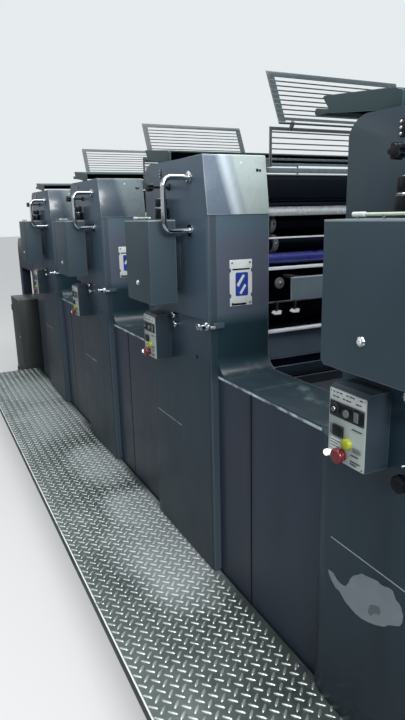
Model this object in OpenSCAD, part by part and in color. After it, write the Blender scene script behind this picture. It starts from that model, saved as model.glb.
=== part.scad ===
// Four-unit sheet-fed offset printing press, with feeder and delivery.
// X runs along the press, feeder end positive. Y runs across it, operator side negative. Z is up.
// Towers, low walls and covers of every unit are the same, so one set of modules draws all four.

/* [Press line] */
// Distance from one printing unit to the next
unit_pitch = 1300; // [1260:10:1400]
// Length of the feeder ahead of the first unit
feeder_len = 2100; // [2040:10:2400]
// Length of the delivery behind the last unit
delivery_len = 1700; // [1600:10:2000]

/* [Side frames] */
// Clear width between the side frames
clear_w = 1064; // [1040:2:1140]
// Thickness of a side frame with its housing
frame_t = 228; // [210:2:250]
// Height of the low side walls between the towers
ledge_h = 1110; // [1080:5:1140]
// Length of the low wall on the feeder side of a tower
ledge_len = 244; // [230:2:260]
// Radius of the fillet where a low wall rises into its tower
ledge_fillet_r = 72; // [50:1:90]
// Height of a tower
tower_h = 1918; // [1900:2:1950]
// Length of a tower along the press
tower_len = 540; // [520:2:580]
// Radius of a tower's top corner on the delivery side
tower_corner_r = 62; // [40:1:80]
// Height of the leaning part at the top of the tower's end face
cap_drop = 208; // [190:2:230]
// How far the tower's end face leans back at the top
lean_back = 30; // [20:1:40]
// How far the deck between the side frames lies below the low walls
deck_drop = 60; // [40:2:90]
// Open joint between two neighbouring units
seam_gap = 10; // [4:1:14]

/* [Tower covers] */
// How far a tower cover stands out from the low walls
cover_t = 35; // [28:1:40]
// Length of the lower cover along the press
cover_len = 660; // [620:5:700]
// Length over which the lower cover rounds off at its delivery-side edge
cover_round_len = 84; // [60:2:110]
// Height of the upper housing's lower edge above the low walls
housing_rise = 212; // [205:1:225]
// How far the upper housing swells outwards towards the delivery
swell = 36; // [20:1:44]
// Sheet thickness of the bright cap over a tower's top
cap_t = 3; // [2:0.5:5]

/* [Base and footboards] */
// Height of the base slab under the frames
bed_h = 120; // [100:2:140]
// Height of the footboard's walking surface
board_h = 250; // [230:2:280]
// Width of a footboard
board_w = 532; // [500:2:560]
// Thickness of the footboard plate
board_t = 8; // [6:1:12]
// Depth of the footboard's turned-down edge
board_lip = 46; // [36:2:60]

/* [Ink unit] */
// Underside of the ink duct cover below the tower's top
inker_drop = 164; // [158:1:170]
// Height of the ink duct cover
inker_cover_h = 103; // [98:1:106]
// Height of the bars over the ink duct cover
top_bar_rise = 12; // [10:1:14]
// Diameter of the bright ink roller under the duct
duct_roller_d = 38; // [32:1:44]
// Diameter of the rubber form roller
form_roller_d = 45; // [40:1:50]
// Form roller's axis below the tower's top
form_roller_drop = 383; // [380:1:388]
// Diameter of the printing cylinder
cylinder_d = 270; // [250:2:280]
// Printing cylinder's axis above the low walls
cylinder_rise = 5; // [0:1:10]
// Radius of the roller and cylinder journals
journal_r = 12; // [10:1:16]
// Clearance of a journal in its bearing hole
journal_gap = 0.06; // [0.03:0.01:0.09]

/* [Guards] */
// Height of the guard leaf along its slope
leaf_h = 212; // [190:2:230]
// Width of the guard leaf
leaf_w = 640; // [600:2:700]
// Lean of the closed guard leaf towards the delivery
leaf_lean = 25; // [15:1:30]
// Spacing of the guard wires
wire_pitch = 19.5; // [16:0.5:24]
// Thickness of a guard wire
wire_d = 5; // [4:0.5:6]
// Height of the guard leaf's hinge above the towers
hinge_rise = 112; // [104:1:120]

/* [Operator fittings] */
// Width of the side box along the press
box_w = 266; // [250:1:280]
// Height of the side box
box_h = 315; // [300:1:320]
// Depth of the side box
box_d = 112; // [100:1:120]
// How far the side box reaches out from the tower cover
box_reach = 168; // [160:1:180]
// Top of the side box below the tower's top
box_drop = 223; // [218:1:230]
// Width of the push-button box
panel_w = 132; // [120:1:140]
// Height of the push-button box
panel_h = 194; // [185:1:200]
// Depth of the push-button box
panel_d = 73; // [60:1:85]
// Free height between the side box and the push-button box
panel_gap = 80; // [70:1:90]
// Diameter of the mushroom stop button
stop_d = 40; // [36:1:46]
// Diameter of the grab handle's tube
handle_d = 20; // [18:1:24]
// Height of the grab handle between its legs
handle_h = 192; // [180:2:196]
// How far the grab handle stands out
handle_out = 112; // [100:2:130]

/* [Feeder and delivery] */
// Height of the feeder's side plates
feeder_h = 1640; // [1600:10:1700]
// Height of the delivery's hood
delivery_h = 1500; // [1440:10:1560]
// Height of the feed table where the sheets enter the first unit
table_h = 1000; // [980:5:1020]

/* [Hidden] */
$fn = 48;
units = 4;
press_len = feeder_len + units * unit_pitch + delivery_len;
half_len = press_len / 2;
half_clear = clear_w / 2;
wall_y = half_clear + frame_t;
tower_y = wall_y + cover_t;
foot_gap = 5;
board_y = wall_y + foot_gap;
board_out = board_y + board_w;
delivery_x = half_len - feeder_len - units * unit_pitch;
// Circle that leaves the lower cover's face level and meets the low wall after cover_round_len
cover_round_r = (cover_round_len * cover_round_len + cover_t * cover_t) / (2 * cover_t);
crease_h = tower_h - cap_drop;
housing_z = ledge_h + housing_rise;
housing_len = tower_len - 28;
cover_near_r = 12;
housing_far_r = 6;
deck_z = ledge_h - deck_drop;
swell_angle = atan(swell / housing_len);
inker_z = tower_h - inker_drop;
hinge_z = tower_h + hinge_rise;
leaf_pivot_x = 14;
roller_x = -62;
form_roller_z = tower_h - form_roller_drop;
cylinder_x = -178;
cylinder_z = ledge_h + cylinder_rise;
core_z = cylinder_z - cylinder_d / 2 - 25;
inker_core_z = cylinder_z + cylinder_d / 2 + 12;

// Feeder-side seam of unit k, and the feeder-side face of its tower
function seam_x(k) = half_len - feeder_len - (k - 1) * unit_pitch;
function tower_x(k) = seam_x(k) - ledge_len;

module at_tower(k) translate([tower_x(k), 0, 0]) children();
module each_tower() for (k = [1:units]) at_tower(k) children();

module both_sides() {
    children();
    mirror([0, 1, 0]) children();
}

// A profile in X and Z, drawn out across the press from y0 to y1
module across(y0, y1) translate([0, y1, 0]) rotate([90, 0, 0]) linear_extrude(y1 - y0) children();

// A profile in Y and Z, drawn out along the press from x0 to x1
module along(x0, x1) translate([x0, 0, 0]) rotate([90, 0, 90]) linear_extrude(x1 - x0) children();

// A box given by two opposite corners
module block(low, high) translate(low) cube(high - low);

// A round bar across the press from y0 to y1
module bar_y(x, z, r, y0, y1) translate([x, y0, z]) rotate([-90, 0, 0]) cylinder(r = r, h = y1 - y0);

// Concave corner filler of radius r in the first quadrant
module fillet(r) difference() {
    square(r);
    translate([r, r]) circle(r);
}

// Removes a convex corner of radius r at the origin of the third quadrant
module corner_cut(r) difference() {
    translate([-1, -1]) square(r + 1);
    translate([r, r]) circle(r);
}

// Rectangle with all four corners rounded
module round_rect(low, high, r) difference() {
    translate(low) square(high - low);
    translate(low) corner_cut(r);
    translate([high[0], low[1]]) mirror([1, 0]) corner_cut(r);
    translate([low[0], high[1]]) mirror([0, 1]) corner_cut(r);
    translate(high) rotate(180) corner_cut(r);
}

// Tower outline from height z0 up: leaning end face, rounded top corner at the far end
module tower_outline(z0, far) difference() {
    polygon([[-far, z0], [0, z0], [0, crease_h], [-lean_back, tower_h], [-far, tower_h]]);
    translate([-far, tower_h]) mirror([0, 1]) corner_cut(tower_corner_r);
}

module side_frame_outline() {
    tower_outline(ledge_h - 1, tower_len);
    translate([ledge_len - unit_pitch + seam_gap / 2, bed_h])
        square([unit_pitch - seam_gap, ledge_h - bed_h]);
    translate([0, ledge_h]) fillet(ledge_fillet_r);
    translate([-tower_len, ledge_h]) mirror([1, 0]) fillet(ledge_fillet_r / 2);
}

module side_frames(k) color([0.28, 0.32, 0.36]) at_tower(k) both_sides() difference() {
    across(-wall_y, -half_clear) side_frame_outline();
    bar_y(roller_x, form_roller_z, journal_r + journal_gap, -half_clear - 30, -half_clear + 1);
    bar_y(cylinder_x, cylinder_z, journal_r + journal_gap, -half_clear - 30, -half_clear + 1);
}

// Lower cover seen from above: small round at the near edge, long round at the far one
module cover_plan() intersection() {
    round_rect([-cover_len, -tower_y], [0, -wall_y + 2 * cover_near_r], cover_near_r);
    translate([-cover_len, -tower_y]) square([cover_len, cover_t]);
    union() {
        translate([cover_round_len - cover_len, -tower_y]) square([cover_len - cover_round_len, cover_t]);
        translate([cover_round_len - cover_len, cover_round_r - tower_y]) circle(cover_round_r, $fn = 180);
    }
}

// Upper housing seen from above: its face swells outwards towards the far edge
module housing_plan() difference() {
    polygon([[0, -wall_y], [0, -tower_y], [-housing_len, -tower_y - swell], [-housing_len, -wall_y]]);
    translate([0, -tower_y]) mirror([1, 0]) corner_cut(cover_near_r);
    translate([-housing_len, -tower_y - swell]) corner_cut(housing_far_r);
}

module lower_cover() intersection() {
    translate([0, 0, board_h + foot_gap]) linear_extrude(housing_z - board_h - foot_gap) cover_plan();
    across(-tower_y, -wall_y) union() {
        translate([-cover_len, board_h]) square([cover_len, ledge_h - board_h]);
        translate([-tower_len, board_h]) square([tower_len, housing_z - board_h]);
    }
}

module upper_housing() intersection() {
    translate([0, 0, housing_z]) linear_extrude(tower_h - housing_z + 1) housing_plan();
    across(-tower_y - swell - 1, -wall_y) tower_outline(housing_z, housing_len);
}

module tower_covers(k) color([0.22, 0.25, 0.29]) at_tower(k) both_sides() {
    lower_cover();
    upper_housing();
}

// Distance of the upper housing's face from the middle of the press, x along from the end face
function face_y(x) = tower_y - x * tan(swell_angle);

// The same for a fitting at height z, which sits on the lower cover or on the housing above it
function side_y(x, z) = z < housing_z ? tower_y : face_y(x);

// Puts a fitting drawn from y = 0 towards the operator square on the housing's face
module on_housing(x, z) translate([x, -face_y(x), z]) rotate(swell_angle) children();

// Bright sheet bent over the leaning part of the end face and the front of the top
module tower_cap() across(-tower_y, -half_clear) difference() {
    polygon([[cap_t, crease_h], [cap_t - lean_back, tower_h + cap_t],
        [-tower_len * 0.4, tower_h + cap_t], [-tower_len * 0.4, tower_h],
        [-lean_back, tower_h], [0, crease_h]]);
    translate([cap_t - lean_back, tower_h + cap_t]) rotate(180) corner_cut(cap_t * 2);
}

module tower_caps() color([0.55, 0.58, 0.60]) each_tower() both_sides() tower_cap();

// Base slab with a rebated foot under the units, feeder and delivery
module bed(x0, x1) {
    block([x0, -wall_y + 60, 0], [x1, wall_y - 60, bed_h / 3]);
    block([x0, -wall_y, bed_h / 3], [x1, wall_y, bed_h]);
}

module beds() color([0.20, 0.22, 0.24]) bed(-half_len, half_len);

// Closed lower body between the frames, with a hollow for the printing cylinder
module unit_core() across(-half_clear, half_clear) difference() {
    translate([ledge_len - unit_pitch + seam_gap / 2, bed_h])
        square([unit_pitch - seam_gap, deck_z - bed_h]);
    translate([-tower_len + 60, core_z]) square([tower_len - 60, ledge_h]);
}

// Shallow trough in the deck in front of the tower
trough_x = 14;
trough_len = 150;
trough_depth = 40;

module trough() block([trough_x, -half_clear + 92, deck_z - trough_depth],
    [trough_x + trough_len, half_clear - 92, deck_z + 1]);

module unit_cores() color([0.17, 0.20, 0.23]) each_tower() difference() {
    unit_core();
    trough();
}

module journals(x, z) bar_y(x, z, journal_r, -half_clear - 20, half_clear + 20);

module printing_cylinder(k) color([0.45, 0.45, 0.50]) at_tower(k) {
    bar_y(cylinder_x, cylinder_z, cylinder_d / 2, -half_clear + 8, half_clear - 8);
    journals(cylinder_x, cylinder_z);
}

module form_roller(k) color([0.20, 0.22, 0.50]) at_tower(k) {
    bar_y(roller_x, form_roller_z, form_roller_d / 2, -half_clear + 8, half_clear - 8);
    journals(roller_x, form_roller_z);
}

// Ink duct with its cover in front, and the body that carries the rollers behind
module inker() across(-half_clear, half_clear) {
    difference() {
        translate([-tower_len + 30, inker_z]) square([tower_len - 64, inker_cover_h]);
        translate([-34, inker_z + inker_cover_h]) rotate(180) corner_cut(24);
        translate([-34, inker_z]) mirror([1, 0]) corner_cut(16);
    }
    translate([-tower_len + 30, inker_core_z]) square([tower_len - 210, inker_z - inker_core_z + 1]);
    translate([-tower_len + 30, deck_z]) square([26, inker_core_z - deck_z + 1]);
}

module inkers() color([0.07, 0.08, 0.11]) each_tower() inker();

module ink_rollers() color([0.60, 0.62, 0.64]) each_tower() {
    bar_y(-46, inker_z - 38, duct_roller_d / 2, -half_clear, half_clear);
    bar_y(-118, inker_z - 84, 30, -half_clear, half_clear);
    bar_y(-96, inker_z - 162, 27, -half_clear, half_clear);
}

module flat_bar(x, z, w, h) across(-half_clear, half_clear) translate([x - w, z - h / 2]) square([w, h]);

module tie_bars() color([0.72, 0.74, 0.77]) each_tower() {
    flat_bar(-36, inker_z + inker_cover_h + top_bar_rise, 12, 18);
    flat_bar(-36, inker_z + inker_cover_h + top_bar_rise + 22, 10, 8);
    flat_bar(-36, inker_z + inker_cover_h + top_bar_rise + 40, 10, 8);
    flat_bar(-20, inker_z - 10, 12, 10);
    flat_bar(-26, inker_z - 137, 10, 6);
    flat_bar(-22, form_roller_z - 36, 14, 12);
}

// Light sheet hanging below the form roller, with two arms back to the ink unit's body
ink_panel_h = 97;
ink_panel_gap = 55;
ink_panel_z = form_roller_z - form_roller_d / 2 - ink_panel_gap - ink_panel_h;

module ink_panel() {
    across(-half_clear + 138, half_clear)
        round_rect([-50, ink_panel_z], [-44, ink_panel_z + ink_panel_h], 2);
    for (y = [-half_clear + 190, half_clear - 60])
        block([-180, y, ink_panel_z + ink_panel_h - 14], [-49, y + 20, ink_panel_z + ink_panel_h - 2]);
}

module ink_panels() color([0.42, 0.44, 0.48]) each_tower() ink_panel();

// Guard plate before the cylinder with a rounded lip on top, and the apron below its slot
module nip_guard() across(-half_clear, half_clear) {
    translate([-34, cylinder_z + 14]) square([6, 112]);
    difference() {
        translate([-34, cylinder_z + 125]) square([20, 14]);
        translate([-14, cylinder_z + 139]) rotate(180) corner_cut(10);
    }
    translate([-34, deck_z - 6]) square([6, cylinder_z - 15 - deck_z]);
}

module nip_guards() color([0.30, 0.31, 0.37]) each_tower() nip_guard();

// Upright comb of wires between the towers. Its posts have feet on the towers' inner faces,
// and its top rail carries the lugs that the leaf's hinge rod turns in.
post_t = 10;
post_foot = lean_back + 5;
rail_h = 12;
rail_z = hinge_z - 24;
hinge_r = 4;
lug_r = 9;
lug_t = 8;
leaf_y0 = -half_clear + 32;
lug_ys = [leaf_y0 + 60, leaf_y0 + leaf_w - 60];
comb_wires = floor((rail_z - tower_h - 8) / wire_pitch) + 1;

module comb_post() {
    block([-2, -half_clear, tower_h - 40], [2, -half_clear + post_t, rail_z + rail_h]);
    block([-post_foot, -half_clear, tower_h - 40], [2, -half_clear + post_t, tower_h - 12]);
}

module hinge_lug() across(-lug_t / 2, lug_t / 2) difference() {
    union() {
        translate([leaf_pivot_x, hinge_z]) circle(lug_r);
        polygon([[-2, rail_z], [2, rail_z], [leaf_pivot_x + lug_r * 0.8, hinge_z - lug_r * 0.6],
            [leaf_pivot_x - lug_r * 0.8, hinge_z + lug_r * 0.6], [-2, rail_z + rail_h]]);
    }
    translate([leaf_pivot_x, hinge_z]) circle(hinge_r + journal_gap);
}

module guard_comb() {
    both_sides() comb_post();
    block([-2, -half_clear + 1, rail_z], [2, half_clear - 1, rail_z + rail_h]);
    for (i = [0:comb_wires - 1])
        bar_y(0, tower_h + 4 + i * wire_pitch, wire_d / 2, -half_clear + 1, half_clear - 1);
    for (y = lug_ys)
        translate([0, y, 0]) hinge_lug();
}

module guard_combs() color([0.35, 0.36, 0.38]) each_tower() guard_comb();

leaf_foot = 13;
stile_w = 30;
leaf_wires = floor((leaf_h - leaf_foot - 44) / wire_pitch) + 1;

// Guard leaf in its own plane: hinge rod at the foot, then wires between two flat stiles
module leaf_flat() {
    bar_y(0, 0, hinge_r, leaf_y0, leaf_y0 + leaf_w);
    for (y = [leaf_y0, leaf_y0 + leaf_w - stile_w])
        block([-2, y, 0], [2, y + stile_w, leaf_h]);
    block([-2, leaf_y0, leaf_h - 20], [2, leaf_y0 + leaf_w, leaf_h]);
    block([-2, leaf_y0, leaf_foot], [2, leaf_y0 + leaf_w, leaf_foot + 10]);
    for (i = [0:leaf_wires - 1])
        bar_y(0, leaf_foot + 24 + i * wire_pitch, wire_d / 2, leaf_y0 + 1, leaf_y0 + leaf_w - 1);
}

module guard(k) color([0.45, 0.46, 0.48]) at_tower(k)
    translate([leaf_pivot_x, 0, hinge_z]) rotate([0, -leaf_lean, 0]) leaf_flat();

// Lid over the delivery half of the ink unit. Its cheeks stand on the towers' tops, and it rises
// towards the delivery, where its edge is rolled down and forward into a lip.
lid_t = 5;
lid_y = tower_y - 55;
lid_cheek = [[-440, 0], [-498, 0], [-520, 20], [-690, 40], [-724, 84], [-716, 87], [-468, 61], [-440, 50]];
lid_lip_r = 9;
lid_grip = [-748, 52];

module lid_point(p) translate([p[0], tower_h + p[1]]) children();

module lid_sheet() {
    polygon([for (p = [[-468, 61], [-716, 87], [-724, 84], [-723, 79], [-716, 81.5], [-468, 55.8]])
        [p[0], tower_h + p[1]]]);
    polygon([for (p = [[-724, 84], [-690, 40], [-684, 42], [-718, 84]]) [p[0], tower_h + p[1]]]);
}

module lid_cheek_outline() polygon([for (p = lid_cheek) [p[0], tower_h + p[1]]]);

// Grip at the lip, between the lid's two cheeks
module lid_grip_outline() {
    lid_point(lid_grip) circle(lid_lip_r);
    polygon([for (p = [[-700, 52], [-748, 61], [-748, 43], [-692, 42]]) [p[0], tower_h + p[1]]]);
}

module ink_hood() {
    across(-lid_y, lid_y) lid_sheet();
    both_sides() across(-lid_y, -lid_y + lid_t) lid_cheek_outline();
    across(-lid_y, lid_y) lid_grip_outline();
}

module ink_hoods() color([0.22, 0.27, 0.28]) each_tower() ink_hood();

box_x = -158;
box_z = tower_h - box_drop - box_h;
box_front = tower_y + box_reach;
box_corner_r = 6;
box_chamfer = 16;
mount_in = 52;

// Box with rounded upright corners, its lower corner on the delivery side cut off
module box_body() difference() {
    translate([0, 0, box_z]) linear_extrude(box_h) intersection() {
        round_rect([box_x - box_w, -box_front], [box_x, -box_front + box_d + 2 * box_corner_r], box_corner_r);
        translate([box_x - box_w, -box_front]) square([box_w, box_d]);
    }
    across(-box_front - 1, -box_front + box_d + 1) polygon([[box_x - box_w - 1, box_z - 1],
        [box_x - box_w + box_chamfer, box_z - 1], [box_x - box_w - 1, box_z + box_chamfer]]);
}

// Narrower foot between the box and the swelling housing
module box_mount() translate([0, 0, box_z + mount_in]) linear_extrude(box_h - 2 * mount_in) polygon([
    [box_x - mount_in, -face_y(box_x - mount_in)],
    [box_x - box_w + mount_in, -face_y(box_x - box_w + mount_in)],
    [box_x - box_w + mount_in, -box_front + box_d - 1],
    [box_x - mount_in, -box_front + box_d - 1]]);

module side_boxes() color([0.25, 0.28, 0.32]) each_tower() {
    box_body();
    box_mount();
}

panel_x = -365;
panel_z = box_z - panel_gap - panel_h;
panel_corner_r = 4;

// Push-button box: rounded upright corners and a sloping rain edge along the top, notched where
// it would meet the housing
module control_panel() difference() {
    translate([0, 0, panel_z]) linear_extrude(panel_h) intersection() {
        round_rect([panel_x - panel_w, -tower_y - panel_d], [panel_x, -tower_y + 9], panel_corner_r);
        translate([panel_x - panel_w, -tower_y - panel_d]) square([panel_w, panel_d]);
    }
    along(panel_x - panel_w - 1, panel_x + 1) polygon([[-tower_y - panel_d - 1, panel_z + panel_h - 8],
        [-tower_y - panel_d + 14, panel_z + panel_h + 1], [-tower_y - panel_d - 1, panel_z + panel_h + 1]]);
    upper_housing();
}

module control_panels() color([0.58, 0.62, 0.58]) each_tower() control_panel();

// Mushroom button: stem, collar and domed head
module stop_button() translate([panel_x - panel_w + 54, -tower_y - panel_d, panel_z + 22])
    rotate([90, 0, 0]) rotate_extrude() {
        square([stop_d * 0.28, 16]);
        square([stop_d * 0.4, 4]);
        translate([0, 14]) difference() {
            square([stop_d / 2, 12]);
            translate([stop_d / 2, 12]) rotate(180) corner_cut(7);
        }
    }

module stop_buttons() color([0.55, 0.10, 0.12]) each_tower() stop_button();

handle_x = -120;
handle_z = tower_h - 263;
handle_bend = 34;

// Upright tube bent back to the housing at both ends, with a round foot at each
module handle() on_housing(handle_x, handle_z) {
    translate([0, -handle_out, handle_bend]) cylinder(d = handle_d, h = handle_h - 2 * handle_bend);
    for (z = [0, handle_h]) {
        translate([0, 0, z]) rotate([90, 0, 0]) cylinder(d = handle_d, h = handle_out - handle_bend);
        translate([0, 0, z]) rotate([90, 0, 0]) cylinder(d = handle_d * 2.2, h = 6);
    }
    translate([0, handle_bend - handle_out, handle_bend]) rotate([90, 0, -90]) mirror([0, 1, 0])
        rotate_extrude(angle = 90) translate([handle_bend, 0]) circle(d = handle_d);
    translate([0, handle_bend - handle_out, handle_h - handle_bend]) rotate([90, 0, -90])
        rotate_extrude(angle = 90) translate([handle_bend, 0]) circle(d = handle_d);
}

// Latch at the tower's near edge: round boss with a wing, and a strap on the end face
latch_z = ledge_h + 193;

module corner_latch() {
    translate([-20, -tower_y, latch_z]) rotate([90, 0, 0]) {
        cylinder(d = 36, h = 8);
        cylinder(d = 26, h = 40);
        translate([0, 0, 22]) linear_extrude(14) round_rect([-24, -11], [32, 11], 10);
    }
    along(0, 6) round_rect([-tower_y + 16, latch_z - 11], [-tower_y + 62, latch_z + 11], 5);
}

// Small turned knob on a stem
module small_knob(x, z) translate([x, -side_y(x, z), z]) rotate([90, 0, 0]) rotate_extrude() difference() {
    union() {
        square([8, 10]);
        translate([0, 7]) square([14, 15]);
    }
    translate([14, 22]) rotate(180) corner_cut(5);
    translate([14, 7]) mirror([1, 0]) corner_cut(2);
}

module chrome_fittings() color([0.80, 0.82, 0.84]) each_tower() {
    handle();
    corner_latch();
    small_knob(-300, box_z - 74);
    small_knob(-290, box_z - 111);
}

// Star grip with five lobes on a turned stem
module star_knob() on_housing(-288, tower_h - 98) rotate([90, 0, 0]) {
    cylinder(d = 26, h = 6);
    cylinder(d = 11, h = 92);
    translate([0, 0, 74]) linear_extrude(24) difference() {
        circle(16);
        for (i = [0:4]) rotate(i * 72) translate([18, 0]) circle(6);
    }
}

// Upright setting knob above the side box: round body on a bracket, and a notched grip on its neck
regulator = [-304, -tower_y - 49];
regulator_z = tower_h - box_drop + 4;

module setting_knob() {
    translate([regulator[0], regulator[1], regulator_z]) {
        cylinder(r = 27, h = 43);
        cylinder(r = 17, h = 50);
        translate([0, 0, 47]) linear_extrude(30) difference() {
            circle(24);
            for (i = [0:17]) rotate(i * 20) translate([25.5, 0]) circle(2.6, $fn = 16);
        }
    }
    translate([0, 0, regulator_z + 8]) linear_extrude(28) polygon([
        [regulator[0] - 13, regulator[1]], [regulator[0] - 13, -face_y(regulator[0] - 13)],
        [regulator[0] + 13, -face_y(regulator[0] + 13)], [regulator[0] + 13, regulator[1]]]);
}

module star_knobs() color([0.06, 0.06, 0.07]) each_tower() {
    star_knob();
    setting_knob();
}

board_x0 = delivery_x - 220;
board_x1 = half_len - feeder_len + 900;

module footboard() along(board_x0, board_x1) {
    translate([-board_out, board_h - board_t]) square([board_w, board_t]);
    translate([-board_out, board_h - board_lip]) square([board_t, board_lip]);
}

module footboards() color([0.52, 0.55, 0.55]) both_sides() footboard();

// Gusset plate that carries the footboard from the frame
bracket_t = 12;

module board_bracket() along(-bracket_t / 2, bracket_t / 2) polygon([[-wall_y, bed_h],
    [-wall_y, board_h - board_t], [-board_out + board_t + 2, board_h - board_t],
    [-board_out + board_t + 2, board_h - board_lip], [-wall_y - 60, bed_h]]);

module board_brackets() color([0.20, 0.22, 0.24]) for (k = [1:units]) for (f = [0.15, 0.85])
    both_sides() translate([seam_x(k) - unit_pitch * f, 0, 0]) board_bracket();

feeder_t = 90;
table_foot = 1150;
feeder_wing = 990;
window_r = 60;

// Side plate of the feeder: low beside the table, tall and with a window beside the pile
module feeder_outline() difference() {
    union() {
        translate([seam_x(1) + seam_gap / 2, bed_h])
            square([feeder_len - seam_gap / 2, table_h + 10 - bed_h]);
        translate([seam_x(1) + feeder_wing, bed_h]) square([feeder_len - feeder_wing, feeder_h - bed_h]);
        translate([seam_x(1) + feeder_wing, table_h + 10]) mirror([1, 0]) fillet(140);
    }
    translate([half_len, feeder_h]) rotate(180) corner_cut(120);
    translate([seam_x(1) + feeder_wing, feeder_h]) mirror([0, 1]) corner_cut(120);
    round_rect([seam_x(1) + feeder_wing + 170, 640], [half_len - 150, feeder_h - 390], window_r);
}

module feeder_frames() color([0.28, 0.32, 0.36]) both_sides() across(-half_clear - feeder_t, -half_clear)
    feeder_outline();

// Sloping board that carries the sheets from the pile to the first unit, with a rounded nose
module feed_table() color([0.55, 0.56, 0.57]) {
    across(-half_clear, half_clear) difference() {
        polygon([[seam_x(1) + seam_gap, table_h - 90], [seam_x(1) + seam_gap, table_h],
            [seam_x(1) + table_foot, table_h + 70], [seam_x(1) + table_foot, table_h + 30]]);
        translate([seam_x(1) + table_foot - 40, table_h + 8]) circle(24);
    }
    for (y = [-360, -120, 120, 360])
        across(y - 16, y + 16) polygon([[seam_x(1) + 30, table_h + 1], [seam_x(1) + 30, table_h + 5],
            [seam_x(1) + table_foot - 40, table_h + 71], [seam_x(1) + table_foot - 40, table_h + 67]]);
}

pile_board_t = 60;

// Board with battens beneath, standing on the bed
module pile_board(x0, x1) {
    block([x0, -half_clear + 20, bed_h + pile_board_t * 0.6], [x1, half_clear - 20, bed_h + pile_board_t]);
    for (y = [-half_clear + 20, -45, half_clear - 110])
        block([x0, y, bed_h], [x1, y + 90, bed_h + pile_board_t * 0.6 + 1]);
}

module feeder_pile_board() color([0.55, 0.45, 0.32]) pile_board(seam_x(1) + 1200, half_len - 60);

head_x = half_len - 550;
head_z = feeder_h - 290;

// Suction head: rail across, rounded housing under it, and four sucker stems
module feeder_head() color([0.50, 0.52, 0.54]) {
    across(-half_clear, half_clear) difference() {
        round_rect([head_x - 70, head_z + 70], [head_x + 70, head_z + 170], 22);
        translate([head_x, head_z + 120]) circle(26);
    }
    across(-180, 180) difference() {
        round_rect([head_x - 56, head_z - 90], [head_x + 56, head_z + 90], 34);
        translate([head_x + 56, head_z - 90]) circle(46);
    }
    for (y = [-150, -60, 60, 150])
        translate([head_x - 30, y, head_z - 112]) {
            cylinder(d = 16, h = 40);
            cylinder(d = 34, h = 14);
        }
}

delivery_t = 100;
hood_depth = 300;
hood_round = 160;

module delivery_outline() difference() {
    translate([-half_len, bed_h]) square([delivery_len - seam_gap / 2, delivery_h - bed_h]);
    translate([-half_len, delivery_h]) mirror([0, 1]) corner_cut(hood_round);
    round_rect([-half_len + 130, 520], [-half_len + 780, delivery_h - hood_depth - 40], window_r);
}

module delivery_frames() color([0.28, 0.32, 0.36]) both_sides() across(-half_clear - delivery_t, -half_clear)
    delivery_outline();

// Hood over the sheet chains: rounded end, a recessed window in its top, hollow underneath
module delivery_hood() color([0.25, 0.28, 0.32]) difference() {
    across(-half_clear, half_clear) difference() {
        translate([-half_len, delivery_h - hood_depth]) square([delivery_len - seam_gap / 2, hood_depth]);
        translate([-half_len, delivery_h]) mirror([0, 1]) corner_cut(hood_round);
        translate([-half_len + 60, delivery_h - hood_depth - 1]) square([delivery_len - 400, hood_depth - 90]);
        translate([-half_len - 1, delivery_h - hood_depth - 1]) square([62, 90]);
    }
    for (x = [-half_len + 320, -half_len + 760])
        block([x, -half_clear + 120, delivery_h - 12], [x + 360, half_clear - 120, delivery_h + 1]);
}

module delivery_pile_board() color([0.55, 0.45, 0.32]) pile_board(-half_len + 60, -half_len + 900);

// Low switch cabinet beside the delivery, standing on the floor against the base slab
cabinet_x = delivery_x - 234;
cabinet_len = 420;
cabinet_y = 912;
cabinet_h = 945;

module delivery_cabinet() color([0.16, 0.18, 0.20]) {
    block([cabinet_x - cabinet_len, -cabinet_y, 0], [cabinet_x, -wall_y, cabinet_h]);
    block([cabinet_x - cabinet_len, -wall_y - 1, bed_h], [cabinet_x, -half_clear - delivery_t, cabinet_h]);
}

beds();
side_frames(1);  // unit1_side_frames
side_frames(2);  // unit2_side_frames
side_frames(3);  // unit3_side_frames
side_frames(4);  // unit4_side_frames
tower_covers(1);  // unit1_tower_covers
tower_covers(2);  // unit2_tower_covers
tower_covers(3);  // unit3_tower_covers
tower_covers(4);  // unit4_tower_covers
tower_caps();
unit_cores();
printing_cylinder(1);  // unit1_cylinder
printing_cylinder(2);  // unit2_cylinder
printing_cylinder(3);  // unit3_cylinder
printing_cylinder(4);  // unit4_cylinder
form_roller(1);  // unit1_form_roller
form_roller(2);  // unit2_form_roller
form_roller(3);  // unit3_form_roller
form_roller(4);  // unit4_form_roller
inkers();
ink_rollers();
tie_bars();
ink_panels();
nip_guards();
guard_combs();
guard(1);  // unit1_guard
guard(2);  // unit2_guard
guard(3);  // unit3_guard
guard(4);  // unit4_guard
ink_hoods();
side_boxes();
control_panels();
stop_buttons();
chrome_fittings();
star_knobs();
footboards();
board_brackets();
feeder_frames();
feed_table();
feeder_pile_board();
feeder_head();
delivery_frames();
delivery_hood();
delivery_pile_board();
delivery_cabinet();
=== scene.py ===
"""Looks of the offset printing press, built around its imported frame."""
import math
import random

import bmesh
import bpy
from mathutils import Matrix, Vector


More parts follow.
